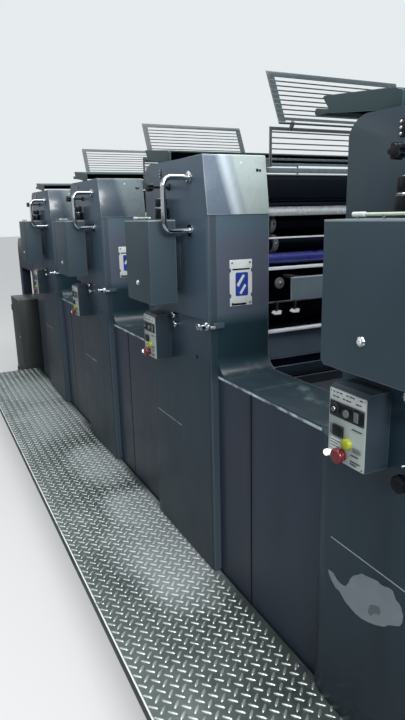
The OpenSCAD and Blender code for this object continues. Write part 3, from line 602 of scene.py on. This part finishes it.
# Each node's material and the width of its rounded edges in millimetres; a unit's nodes without unit1_
NODE_LOOKS = {
    "side_frames": (SLATE, 14.0), "tower_covers": (COVER, 2.0), "cylinder": (CYLINDER_STEEL, 1.5),
    "form_roller": (RUBBER, 1.5), "guard": (GUARD_PAINT, 0.8), "beds": (BASE_CAST, 4.0),
    "tower_caps": (CAP, 1.0), "unit_cores": (DECK, 3.0), "inkers": (INK_LACQUER, 3.0),
    "ink_rollers": (ROLLER_STEEL, 1.0), "tie_bars": (BAR_STEEL, 1.0), "ink_panels": (PANEL_SHEET, 0.8),
    "nip_guards": (NIP_PAINT, 1.5), "guard_combs": (WIRE_PAINT, 0.8), "ink_hoods": (HOOD_PAINT, 1.2),
    "side_boxes": (BOX_PAINT, 3.0), "control_panels": (PANEL_PAINT, 1.5), "stop_buttons": (STOP_RED, 0.6),
    "chrome_fittings": (CHROME, 0.8), "star_knobs": (KNOB_BLACK, 1.0), "footboards": (TREAD, 2.0),
    "board_brackets": (BRACKET_PAINT, 1.5), "feeder_frames": (SLATE, 6.0), "feed_table": (TABLE_STEEL, 1.5),
    "feeder_pile_board": (PILE_WOOD, 3.0), "feeder_head": (HEAD_CAST, 2.0), "delivery_frames": (SLATE, 6.0),
    "delivery_hood": (COVER, 4.0), "delivery_pile_board": (PILE_WOOD, 3.0),
    "delivery_cabinet": (CABINET_PAINT, 4.0)}
for name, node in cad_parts.items():
    part = name if name in NODE_LOOKS else name.split("_", 1)[1]
    material, edge_mm = NODE_LOOKS[part]
    node.data.materials.clear()
    node.data.materials.append(material)
    node.modifiers.new("weld", "WELD").merge_threshold = 0.00002
    if part in WEIGHTS:
        node.modifiers.new("edge weights", "NODES").node_group = WEIGHTS[part]
    round_off = node.modifiers.new("rounded edges", "BEVEL")
    round_off.width = edge_mm * MM
    round_off.segments = 4 if part == "side_frames" else 3
    round_off.limit_method = "WEIGHT" if part in WEIGHTS else "ANGLE"
    round_off.angle_limit = math.radians(40)
    round_off.use_clamp_overlap = True
    node.modifiers.new("shading", "NODES").node_group = SOFT


# Small parts and trim
def show(name, data):
    """Puts a new object with the given data into the scene."""
    made = bpy.data.objects.new(name, data)
    bpy.context.scene.collection.objects.link(made)
    return made


class Piece:
    """Collects solids into one mesh. Material slots are numbered in the order given."""

    def __init__(self, name, *materials):
        self.name, self.materials, self.bm = name, materials, bmesh.new()

    def ring(self, places):
        return [self.bm.verts.new(place) for place in places]

    def close(self, slot):
        """Gives the slot to every face made since the last call."""
        for face in self.bm.faces:
            if not face.smooth:
                face.material_index = slot
                face.smooth = True

    def soften(self, edges, radius):
        if radius:
            bmesh.ops.bevel(self.bm, geom=edges, offset=radius, segments=2, profile=0.5, affect="EDGES",
                            clamp_overlap=True)

    def block(self, low, high, radius=0.0, slot=0):
        size, middle = Vector(high) - Vector(low), (Vector(high) + Vector(low)) / 2
        place = Matrix.Translation(middle) @ Matrix.Diagonal((*size, 1))
        made = bmesh.ops.create_cube(self.bm, size=1.0, matrix=place)
        self.soften(list({e for v in made["verts"] for e in v.link_edges}), radius)
        self.close(slot)

    def skin(self, rings, sides):
        """Faces between rings of corners; a ring may be a single point."""
        for a, b in zip(rings, rings[1:]):
            for i in range(sides):
                j = (i + 1) % sides
                corners = [a[i % len(a)], a[j % len(a)], b[j % len(b)], b[i % len(b)]]
                corners = [v for n, v in enumerate(corners) if v not in corners[:n]]
                if len(corners) > 2:
                    self.bm.faces.new(corners)

    def lathe(self, profile, at, slot=0, steps=24, axis=OUT):
        """Turned part: (radius, height) points in millimetres, revolved about axis from the point at."""
        turn = UP.rotation_difference(Vector(axis)).to_matrix()
        rings = []
        for radius, height in [(r * MM, h * MM) for r, h in profile]:
            angles = [i * math.tau / steps for i in range(steps)] if radius > 0 else [0.0]
            places = [Vector((radius * math.cos(a), radius * math.sin(a), height)) for a in angles]
            rings.append(self.ring(Vector(at) + turn @ place for place in places))
        self.skin(rings, steps)
        self.close(slot)

    def sheet(self, points, at, thick, radius=0.0, slot=0, right=ALONG, up=UP):
        """Flat plate of the given outline, standing on the plane through at and rising along right x up."""
        rise = right.cross(up).normalized() * thick
        flat = self.ring(Vector(at) + right * x + up * y for x, y in points)
        raised = self.ring(v.co + rise for v in flat)
        top = self.bm.faces.new(raised)
        self.bm.faces.new(flat[::-1])
        self.skin([flat, raised], len(flat))
        self.soften(list(top.edges), radius)
        self.close(slot)

    def tube(self, points, radius, slot=0, sides=12):
        """Round bar along a line of points, with flat ends."""
        points = [Vector(p) for p in points]
        rings, normal = [], None
        for i, p in enumerate(points):
            along = (points[min(i + 1, len(points) - 1)] - points[max(i - 1, 0)]).normalized()
            if normal is None:
                normal = along.orthogonal().normalized()
            normal = (normal - along * normal.dot(along)).normalized()
            side = along.cross(normal)
            turns = [n * math.tau / sides for n in range(sides)]
            places = [normal * radius * math.cos(a) + side * radius * math.sin(a) for a in turns]
            rings.append(self.ring(p + place for place in places))
        self.skin(rings, sides)
        self.bm.faces.new(rings[0][::-1])
        self.bm.faces.new(rings[-1])
        self.close(slot)

    def screws(self, places, radius, slot=0, steps=14, axis=OUT):
        """Socket screws with a sunk middle; the radius is in millimetres."""
        for at in places:
            self.lathe([(r * radius, h * radius) for r, h in SCREW], at, slot, steps, axis)

    def louvres(self, x0, x1, z0, count, pitch, y):
        """Column of pressed louvres on a side sheet."""
        for i in range(count):
            z = z0 + i * pitch
            self.block((x0, y - 0.007, z), (x1, y + 0.001, z + pitch * 0.45), 0.003)

    def copy(self, geometry):
        made = bmesh.ops.duplicate(self.bm, geom=geometry)["geom"]
        return [g for g in made if isinstance(g, bmesh.types.BMVert)], made

    def repeat(self, places):
        """Copies what has been drawn so far to every x."""
        verts = list(self.bm.verts)
        first = verts + list(self.bm.edges) + list(self.bm.faces)
        for x in places[1:]:
            bmesh.ops.translate(self.bm, verts=self.copy(first)[0], vec=ALONG * x)
        bmesh.ops.translate(self.bm, verts=verts, vec=ALONG * places[0])

    def both_sides(self):
        """Adds the mirror image on the far side of the press."""
        fresh, made = self.copy(list(self.bm.verts) + list(self.bm.edges) + list(self.bm.faces))
        for vert in fresh:
            vert.co.y = -vert.co.y
        bmesh.ops.reverse_faces(self.bm, faces=[g for g in made if isinstance(g, bmesh.types.BMFace)])

    def done(self, places=None):
        if places:
            self.repeat(places)
        bmesh.ops.recalc_face_normals(self.bm, faces=list(self.bm.faces))
        mesh = bpy.data.meshes.new(self.name)
        self.bm.to_mesh(mesh)
        self.bm.free()
        mesh.set_sharp_from_angle(angle=math.radians(32))
        for material in self.materials:
            mesh.materials.append(material)
        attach(show(self.name, mesh), "press")


SCREW = [(0, 0), (1.0, 0), (1.0, 0.34), (0.86, 0.5), (0.52, 0.5), (0.44, 0.2), (0, 0.2)]


def round_corners(low, high, radius, steps=5):
    """Outline of a rectangle with rounded corners, anticlockwise."""
    left, right, bottom, top = low[0] + radius, high[0] - radius, low[1] + radius, high[1] - radius
    points = []
    for x, y, start in ((right, top, 0), (left, top, 90), (left, bottom, 180), (right, bottom, 270)):
        for i in range(steps + 1):
            a = math.radians(start + 90 * i / steps)
            points.append((x + radius * math.cos(a), y + radius * math.sin(a)))
    return points


def panel_corners(x0, x1, z0, z1, inset, y):
    """Four places for screws, set in from a panel's corners."""
    return [(x, y, z) for x in (x0 + inset, x1 - inset) for z in (z0 + inset, z1 - inset)]


# Tread pattern: two crossed families of lugs on one square lattice, on both footboards
BOARD_IN = WALL_Y - 0.005
LUG_PITCH = 0.046
LUG_LEN, LUG_W, LUG_H = 0.037, 0.0105, 0.0026
LUG_SIDES = 8
LUG_START = (0.022, 0.02)
LUG_MARGIN = 0.018


def lug_shape():
    """Rings of one lug lying along x: a pointed oval that rises to a rounded ridge."""
    turns = [math.tau * i / LUG_SIDES for i in range(LUG_SIDES)]
    return [[(math.cos(a) * LUG_LEN / 2 * (0.35 + 0.65 * share), math.sin(a) * LUG_W / 2 * share, height)
             for a in turns] for share, height in ((1.0, -0.0004), (0.86, LUG_H * 0.6), (0.55, LUG_H))]


def lug_places():
    """Centre and turn of every lug on the operator's board."""
    low_x, low_y, high_x = BOARD_LOW.x, BOARD_LOW.y, BOARD_HIGH.x
    columns = int((high_x - low_x - 0.02) / LUG_PITCH)
    rows = int((BOARD_IN - low_y - 0.01) / LUG_PITCH) + 1
    for shift, turn in ((0, math.radians(45)), (LUG_PITCH / 2, math.radians(135))):
        for i in range(columns):
            for j in range(rows):
                x = low_x + LUG_START[0] + i * LUG_PITCH + shift
                y = low_y + LUG_START[1] + j * LUG_PITCH + shift
                if low_x + LUG_MARGIN < x < high_x - LUG_MARGIN and y < BOARD_IN - LUG_MARGIN:
                    yield x, y, turn + rng.uniform(-0.03, 0.03)


def add_lugs(name, mirror):
    verts, faces, rings = [], [], lug_shape()
    last = LUG_SIDES * (len(rings) - 1)
    for x, y, a in lug_places():
        base = len(verts)
        for px, py, pz in sum(rings, []):
            verts.append((x + px * math.cos(a) - py * math.sin(a),
                          (y + px * math.sin(a) + py * math.cos(a)) * mirror, BOARD_HIGH.z + pz))
        new = []
        for start in range(base, base + last, LUG_SIDES):
            for n in range(LUG_SIDES):
                m = (n + 1) % LUG_SIDES
                new.append((start + n, start + m, start + LUG_SIDES + m, start + LUG_SIDES + n))
        new.append(tuple(range(base + last, base + last + LUG_SIDES)))
        faces += new if mirror > 0 else [face[::-1] for face in new]
    mesh = bpy.data.meshes.new(name)
    mesh.from_pydata(verts, [], faces)
    mesh.polygons.foreach_set("use_smooth", [True] * len(mesh.polygons))
    mesh.materials.append(LUG_STEEL)
    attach(show(name, mesh), "press")


add_lugs("tread_lugs_operator_side", 1)
add_lugs("tread_lugs_drive_side", -1)

screws = Piece("footboard_screws", STEEL)
x = BOARD_LOW.x + 0.12
while x < BOARD_HIGH.x - 0.05:
    for y in (BOARD_LOW.y + 0.022, BOARD_IN - 0.02):
        screws.screws([(x, y, BOARD_HIGH.z - 0.0006)], 7.5, axis=UP)
    x += 0.62
screws.both_sides()
screws.done()


# Notice plates on the towers' end faces, with a plain picture and no words
def notch(y, z, side):
    """Four points of a notch in a plate's upright side; side is the way into the plate."""
    return [(y, z), (y + side * 0.006, z - side * 0.004), (y + side * 0.006, z - side * 0.014),
            (y, z - side * 0.018)]


def add_notices():
    notices = Piece("notice_plates", SIGN_WHITE, SIGN_BLUE, PLATE_DARK, STEEL)
    y0, y1, z0, z1 = -0.705, -0.608, 1.371, 1.545
    plate, picture, print_thick = 0.0016, 0.0003, 0.0002
    outline = [(y0, z0), (y1, z0), *notch(y1, z0 + 0.03, -1), *notch(y1, z1 - 0.05, -1),
               (y1, z1), (y0, z1), *notch(y0, z1 - 0.03, 1), *notch(y0, z0 + 0.048, 1)]
    layers = [(outline, 0.0, plate, 0.0004, 0),
              (round_corners((-0.681, 1.408), (-0.626, 1.497), 0.006), plate, picture, 0.0, 1)]
    for stroke in ([(-0.676, 1.452), (-0.668, 1.442), (-0.64, 1.484), (-0.648, 1.49)],
                   [(-0.664, 1.42), (-0.656, 1.414), (-0.634, 1.446), (-0.641, 1.453)]):
        layers.append((stroke, plate + picture, print_thick, 0.0, 0))
    for low, high in (((-0.694, 1.506), (-0.618, 1.512)), ((-0.698, 1.373), (-0.634, 1.381))):
        layers.append((round_corners(low, high, 0.002), plate, print_thick, 0.0, 2))
    for points, x, thick, radius, slot in layers:
        notices.sheet(points, (x, 0, 0), thick, radius, slot, ACROSS, UP)
    corners = [(0.0014, y, z) for y in (y0 + 0.01, y1 - 0.01) for z in (z0 + 0.011, z1 - 0.011)]
    notices.screws(corners, 4, 3, 10, ALONG)
    notices.done(TOWER_X)


add_notices()

# Thin line on the lower covers, worn away in places on the units further back
STRIPE_RUNS = ([(-0.562, -0.155)], [(-0.562, -0.47), (-0.462, -0.352), (-0.338, -0.286)],
               [(-0.56, -0.44), (-0.42, -0.3)], [(-0.56, -0.3)])
stripes = Piece("cover_stripes", STRIPE_WHITE)
for tower_x, runs in zip(TOWER_X, STRIPE_RUNS):
    for x0, x1 in runs:
        stripes.block((tower_x + x0, COVER_Y - 0.0005, 0.8135), (tower_x + x1, COVER_Y + 0.0005, 0.8165))
stripes.done()

# Patch of the first unit's cover where the paint has come off down to the primer; x and z in millimetres
WORN_MM = [(-571, 704), (-548, 706), (-528, 694), (-514, 690), (-496, 693), (-484, 712), (-476, 730),
           (-462, 750), (-447, 763), (-430, 773), (-414, 778), (-396, 784), (-380, 788), (-364, 785),
           (-350, 786), (-336, 794), (-323, 794), (-316, 784), (-309, 774), (-298, 771), (-291, 766),
           (-287, 748), (-285, 728), (-292, 712), (-305, 705), (-326, 691), (-344, 672), (-374, 657),
           (-400, 646), (-424, 642), (-444, 638), (-464, 641), (-490, 650), (-514, 664), (-534, 668),
           (-551, 678), (-564, 692)]
SPOT_MM = [(-398, 700), (-384, 712), (-362, 720), (-356, 706), (-362, 694), (-378, 688), (-392, 670),
           (-404, 676)]
WORN_DEPTH = 0.0004


def ragged(mm):
    return mm * MM + rng.uniform(-0.0025, 0.0025)


patch = Piece("worn_patch", PRIMER, PRIMER_DARK)
patch.sheet([(ragged(x), ragged(z)) for x, z in WORN_MM], (0, COVER_Y, 0), WORN_DEPTH)
patch.sheet([(x * MM, z * MM) for x, z in SPOT_MM], (0, COVER_Y - WORN_DEPTH, 0), 0.0002, slot=1)
patch.done(FIRST_TOWER)


# Control plates on the push-button boxes
def add_control_plates():
    plates = Piece("control_plates", PLATE_LIGHT, PLATE_DARK, PLATE_GREY, KEY_GREEN, LAMP_WHITE, STEEL,
                   SIGN_WHITE)
    left, right, bottom, top = -0.4965, -0.3655, 1.1075, 1.2905
    face = PANEL_Y - 0.0018
    seat = face + 0.0002
    plates.sheet(round_corners((left, bottom), (right, top), 0.003), (0, PANEL_Y, 0), 0.0018, 0.0005)
    for row, z in enumerate((1.2835, 1.2715)):
        for i in range(9):
            x = left + 0.014 + i * 0.0118
            wide = 0.0065 + 0.002 * ((i * 7 + row) % 3)
            if (i + row) % 4 != 3:
                plates.block((x, face - 0.0011, z - 0.0016), (x + wide, seat, z + 0.0016), slot=1)
    strip = round_corners((left + 0.002, 1.2625), (right - 0.002, 1.289), 0.003)
    display = round_corners((left + 0.003, 1.22), (right - 0.004, 1.26), 0.004)
    plates.sheet(strip, (0, face, 0), 0.0008, 0.0003, 6)
    plates.sheet(display, (0, face, 0), 0.0012, 0.0004, 1)
    for x, z, slot, profile in (
            (-0.474, 1.24, 5, [(0, 9), (6, 7.8), (8.5, 4), (9.5, 0)]),
            (-0.474, 1.24, 1, [(14.5, 0), (14.5, 4), (9.5, 6)]),
            (-0.432, 1.238, 2, [(0, 5), (8, 5), (9.5, 3.5), (9.5, 0)])):
        plates.lathe(profile, (x, face - 0.0012, z), slot)
    plates.block((-0.406, face - 0.0022, 1.226), (-0.391, face, 1.25), 0.0006, 2)
    for x0, x1, z0, z1, slot, rise in (
            (-0.476, -0.44, 1.172, 1.201, 1, 0.006), (-0.49, -0.48, 1.172, 1.2, 2, 0.003),
            (-0.488, -0.446, 1.136, 1.164, 6, 0.002), (-0.404, -0.376, 1.15, 1.162, 2, 0.003)):
        plates.block((x0, face - rise, z0), (x1, seat, z1), 0.001, slot)
    for x0, x1, z in ((-0.486, -0.45, 1.158), (-0.486, -0.458, 1.151), (-0.41, -0.376, 1.206),
                      (-0.41, -0.384, 1.14), (-0.412, -0.378, 1.124), (-0.412, -0.39, 1.117),
                      (-0.486, -0.45, 1.143)):
        plates.block((x0, face - 0.0023, z - 0.0011), (x1, seat, z + 0.0011), slot=1)
    button = [(0, 13), (9, 12.5), (13.5, 10), (14.5, 3), (16, 0)]
    lamp = [(0, 19), (6, 18.5), (8.5, 16), (8.5, 8), (6, 6), (6, 0)]
    plates.lathe(button, (-0.425, face, 1.163), 3)
    plates.lathe(lamp, (-0.487, face, 1.121), 4)
    plates.screws(panel_corners(left, right, bottom, top, 0.006, seat), 2.6, 5, 10)
    plates.done(TOWER_X)


add_control_plates()

# Locks and rails of the side boxes
RAIL_Y, RAIL_Z = -0.945, 1.7045
LOCK = (-0.292, BOX_Y, 1.453)
locks = Piece("side_box_trim", CHROME, SIGN_WHITE, STEEL, RAIL_PAINTED_HIGHLIGHT)
locks.lathe([(0, 4.5), (8, 4.5), (10.5, 3), (12, 0)], LOCK)
locks.lathe([(0, 6.2), (5.5, 6), (7, 4.4)], LOCK, 1)
# The rail is drawn in the colour of its reflection: painted highlight.
for x0, x1, radius, slot in ((-0.352, -0.176, 0.0032, 3), (-0.35, -0.316, 0.005, 1)):
    locks.tube([(x0, RAIL_Y, RAIL_Z), (x1, RAIL_Y, RAIL_Z)], radius, slot)
for x in (-0.338, -0.264, -0.19):
    locks.lathe([(3.2, 0), (3.2, 9)], (x, RAIL_Y, RAIL_Z - 0.01), 2, 10, UP)
locks.done(TOWER_X)

# Chrome pins beside the towers' tops, a plug in each cover, and studs on the leaning caps
PIN_X, PIN_Y = -0.355, COVER_Y - 0.355 * 36 / 512
CAP_RUN, CAP_RISE = 0.03, 0.208
pins = Piece("housing_pins", CHROME, KNOB_BLACK, STEEL, SIGN_WHITE)
for z in (1.8865, 1.8745, 1.8625):
    pins.lathe([(0, 7.5), (2.2, 7.2), (3.4, 6), (3.4, 0)], (PIN_X, PIN_Y, z), 0, 12)
pins.block((PIN_X - 0.0055, PIN_Y - 0.0025, 1.856), (PIN_X + 0.0055, PIN_Y + 0.002, 1.893), 0.001, 1)
pins.lathe([(0, 2), (6, 2), (9, 0.8), (10, 0)], (-0.114, COVER_Y, 1.163), 1, 16)
for y, z, r, slot in ((-0.56, 1.866, 5.5, 1), (-0.572, 1.867, 6.5, 1), (-0.64, 1.891, 5, 3)):
    at = (0.0032 - CAP_RUN * (z - 1.71) / CAP_RISE, y, z)
    pins.lathe([(0, r * 0.3), (r * 0.7, r * 0.3), (r, 0)], at, slot, 16, (CAP_RISE, 0, CAP_RUN))
pins.done(TOWER_X)

# Lever of the latch at each tower's near edge, from its boss round to the strap on the end face
levers = Piece("latch_levers", CHROME, STRAP_STEEL)
BEND = [(-0.016, -0.812, 1.306), (-0.004, -0.811, 1.305), (0.006, -0.806, 1.303), (0.011, -0.797, 1.301),
        (0.011, -0.788, 1.299), (0.009, -0.778, 1.298)]
BOSS = [(0, 12), (7, 10.5), (10.5, 6), (11, -2), (8, -8), (0, -11)]
levers.tube(BEND, 0.0065, 1, 14)
levers.lathe(BOSS, (0.008, -0.804, 1.302), 0, 20, (1, -1, 0.2))
levers.done(TOWER_X)

# Bright rims of the upright setting knobs
rims = Piece("setting_knob_rims", CHROME)
for z, profile in ((1.776, [(0, 3.5), (12, 3.5), (18, 2), (20, 0)]),
                   (1.742, [(27.2, -4), (27.8, 0), (25.5, 2.2), (17.8, 2.2)])):
    rims.lathe(profile, (-0.304, -0.844, z), 0, 28, UP)
rims.done(TOWER_X)

# The first unit's black knob and the bright pin above it
knob = Piece("adjusting_knob", KNOB_BLACK, CHROME)
knob.lathe([(0, 36), (16, 35), (21, 30), (22, 14), (12, 11), (12, 0)],
           (-0.302, COVER_Y, 1.097), 0, 28)
for profile in ([(0, 30), (3.5, 29), (4.8, 26), (4.8, 0)],
                [(8, 0), (8, 4), (5, 5)]):
    knob.lathe(profile, (-0.292, COVER_Y, 1.147), 1, 14)
knob.done(FIRST_TOWER)


# Rod with four grippers below the light sheet, caps and collars of the rollers' bearings
def collar(inner, outer):
    """Profile of a wheel or collar with broken edges."""
    half = [(inner, 12), (outer - 3, 12), (outer, 9)]
    return [(r, -h) for r, h in half] + half[::-1]


rods = Piece("gripper_rods", STEEL, PLATE_GREY, CHROME, SIGN_WHITE)
rods.tube([(-0.044, -HALF_GAP, 1.362), (-0.044, HALF_GAP, 1.362)], 0.004)
for y in (-0.465, -0.376, 0.376, 0.465):
    rods.block((-0.05, y - 0.005, 1.326), (-0.038, y + 0.005, 1.366), 0.002)
    clip = [(y - 0.026, 0.012), (y - 0.014, 0), (y + 0.014, -0.002), (y + 0.028, 0.016), (y + 0.012, 0.022),
            (y - 0.01, 0.022)]
    rods.sheet(clip, (-0.034, 0, 1.312), 0.004, 0.001, 3, ACROSS, Vector((-0.8, 0, 0.6)))
for x, z, r in ((-0.062, 1.535, 26), (-0.046, 1.716, 24), (-0.178, 1.115, 52)):
    for side in (-1, 1):
        cap = [(r * 0.62, 6.8), (r * 0.9, 6.8), (r, 5), (r, 0)]
        rods.lathe(cap, (x, side * HALF_GAP, z), axis=(0, -side, 0))
for side in (-1, 1):
    for x, z, r in ((-0.118, 1.67, 30), (-0.096, 1.592, 27)):
        rods.lathe(collar(r - 1, r + 10), (x, side * 0.458, z), 1, 28, ACROSS)
        rods.screws([(x + r * MM + 0.009, side * 0.458, z)], 5, 2, 10, ALONG)
    rods.lathe([(0, 10), (8, 10), (11, 8), (11, 5), (19, 5), (22, 2), (22, -3)],
               (-0.044, side * 0.452, 1.438), 1, 26, ALONG)
    rods.screws([(-0.0345, side * 0.452, 1.438)], 6, 2, 12, ALONG)
rods.done(TOWER_X)

# Cover panels, louvres and screws of the feeder and the delivery
ends = Piece("end_covers", COVER, STEEL, PLATE_DARK)
for x0, x1, z0, z1, y in ((FEED[0].x + 0.08, FEED[0].x + 0.88, 0.18, 0.93, FEED[0].y),
                          (DELIVERY[1].x - 0.66, DELIVERY[1].x - 0.08, 0.3, 1.1, DELIVERY[0].y)):
    ends.sheet(round_corners((x0, z0), (x1, z1), 0.03), (0, y, 0), 0.004, 0.0012)
    ends.screws(panel_corners(x0, x1, z0, z1, 0.03, y - 0.004), 8, 1)
    ends.louvres(x0 + 0.14, x1 - 0.14, z0 + 0.12, 8, 0.032, y - 0.004)
ends.both_sides()
ends.done()

# Rods with running wheels over the sloping feed table
table = Piece("feed_table_wheels", STEEL, KNOB_BLACK, TABLE_STEEL)
for share in (0.3, 0.62):
    x = TABLE[0].x + (TABLE[1].x - TABLE[0].x) * share
    top = 1.001 + 0.07 * share
    table.tube([(x, -HALF_GAP, top + 0.052), (x, HALF_GAP, top + 0.052)], 0.008)
    for y in (-0.36, -0.12, 0.12, 0.36):
        table.lathe(collar(8, 29), (x + 0.034, y, top + 0.0365), 1, axis=ACROSS)
        table.block((x - 0.006, y + 0.013, top + 0.03), (x + 0.042, y + 0.018, top + 0.06), 0.001, 2)
table.done()

# Windows with handles in the delivery's hood
hood = Piece("hood_windows", PLATE_DARK, STEEL, CHROME)
for x in (HOOD[0].x + 0.32, HOOD[0].x + 0.76):
    pane = round_corners((x + 0.003, -0.409), (x + 0.357, 0.409), 0.01)
    hood.sheet(pane, (0, 0, HOOD[1].z - 0.012), 0.007, 0.001, 0, ALONG, ACROSS)
    for y in (-0.3, 0.3):
        legs = ((-0.06, -0.005), (-0.06, 0.02), (0.06, 0.02), (0.06, -0.005))
        hood.tube([(x + 0.31, y + along, HOOD[1].z + rise) for along, rise in legs], 0.006, 2, 10)
hood.done()

# Lock, hinges and louvres of the low cabinet's door
cabinet = Piece("cabinet_door", CABINET_PAINT, CHROME, STEEL)
(x0, y, _), (x1, _, z1) = CABINET
cabinet.lathe([(0, 4), (10, 3.5), (12, 0)], (x1 - 0.05, y, z1 * 0.6), 1, 18)
for z in (0.16, z1 - 0.12):
    cabinet.tube([(x0 + 0.012, y - 0.003, z - 0.03), (x0 + 0.012, y - 0.003, z + 0.03)], 0.006, 2)
cabinet.louvres(x0 + 0.09, x1 - 0.09, 0.12, 6, 0.026, y)
cabinet.done()

# Studio: the photograph's viewpoint, a pale floor and backdrop, and soft lights
PHOTO_HEIGHT_PX = 720
FOCAL_PX = 570.0
SENSOR_MM = 36.0
EYE = Vector((TOWER_X[0] + 0.58, WALL_Y - 0.991, 1.71))
EYE_AXES = Matrix(((0.44632, 0.89458, -0.02287), (-0.21057, 0.12982, 0.96892), (0.86975, -0.42763, 0.24631)))


def add_camera():
    data = bpy.data.cameras.new("camera")
    data.sensor_fit = "AUTO"
    data.sensor_width = SENSOR_MM
    data.lens = FOCAL_PX / PHOTO_HEIGHT_PX * SENSOR_MM
    data.clip_start, data.clip_end = 0.02, 200.0
    camera = show("camera", data)
    camera.matrix_world = Matrix.Translation(EYE) @ EYE_AXES.transposed().to_4x4()
    bpy.context.scene.camera = camera


def add_floor():
    mesh = bpy.data.meshes.new("studio_floor")
    bm = bmesh.new()
    bmesh.ops.create_grid(bm, x_segments=1, y_segments=1, size=60.0)
    bm.to_mesh(mesh)
    bm.free()
    floor = show("studio_floor", mesh)
    s = Material("studio_floor")
    seen = s.add("ShaderNodeLightPath").outputs["Is Camera Ray"]
    grey = s.mix(seen, (0.26, 0.27, 0.28, 1.0), (0.34, 0.34, 0.34, 1.0))
    mesh.materials.append(s.surface(
        Base_Color=grey, Roughness=0.9, Specular_IOR_Level=0.1, Emission_Color=(0.86, 0.88, 0.89, 1.0),
        Emission_Strength=s.times(seen, 0.46)))


def area_light(name, place, target, size, power):
    data = bpy.data.lights.new(name, "AREA")
    data.shape = "RECTANGLE"
    data.size, data.size_y = size
    data.energy = power
    lamp = show(name, data)
    lamp.location = place
    lamp.rotation_mode = "QUATERNION"
    lamp.rotation_quaternion = (Vector(target) - Vector(place)).to_track_quat("-Z", "Y")


def add_world():
    """Bright backdrop for the camera, and a plainer sky for the light on the press."""
    world = bpy.data.worlds.new("studio")
    bpy.context.scene.world = world
    world.use_nodes = True
    s = Shader(world.node_tree)
    plain, out = (world.node_tree.nodes[key] for key in ("Background", "World Output"))
    s.feed(plain, "Color", (0.8, 0.85, 0.9, 1.0))
    s.feed(plain, "Strength", 0.45)
    seen = s.add("ShaderNodeBackground", {"Color": (0.84, 0.88, 0.9, 1.0), "Strength": 0.95})
    rays = s.add("ShaderNodeLightPath").outputs
    share = s.most(rays["Is Camera Ray"], s.times(rays["Is Glossy Ray"], 0.55))
    chosen = s.add("ShaderNodeMixShader", {0: share, 1: plain.outputs[0], 2: seen.outputs[0]})
    s.feed(out, "Surface", chosen.outputs[0])


add_camera()
add_floor()
area_light("key", (8.2, -1.9, 4.6), (1.5, -0.3, 1.0), (4.0, 2.4), 560)
area_light("over", (0.5, 0.4, 5.6), (0.0, 0.0, 0.0), (9.0, 3.0), 420)
area_light("fill", (-2.0, -5.5, 3.6), (0.0, 0.0, 1.0), (8.0, 2.0), 45)
add_world()
bpy.context.scene.view_settings.view_transform = "Standard"
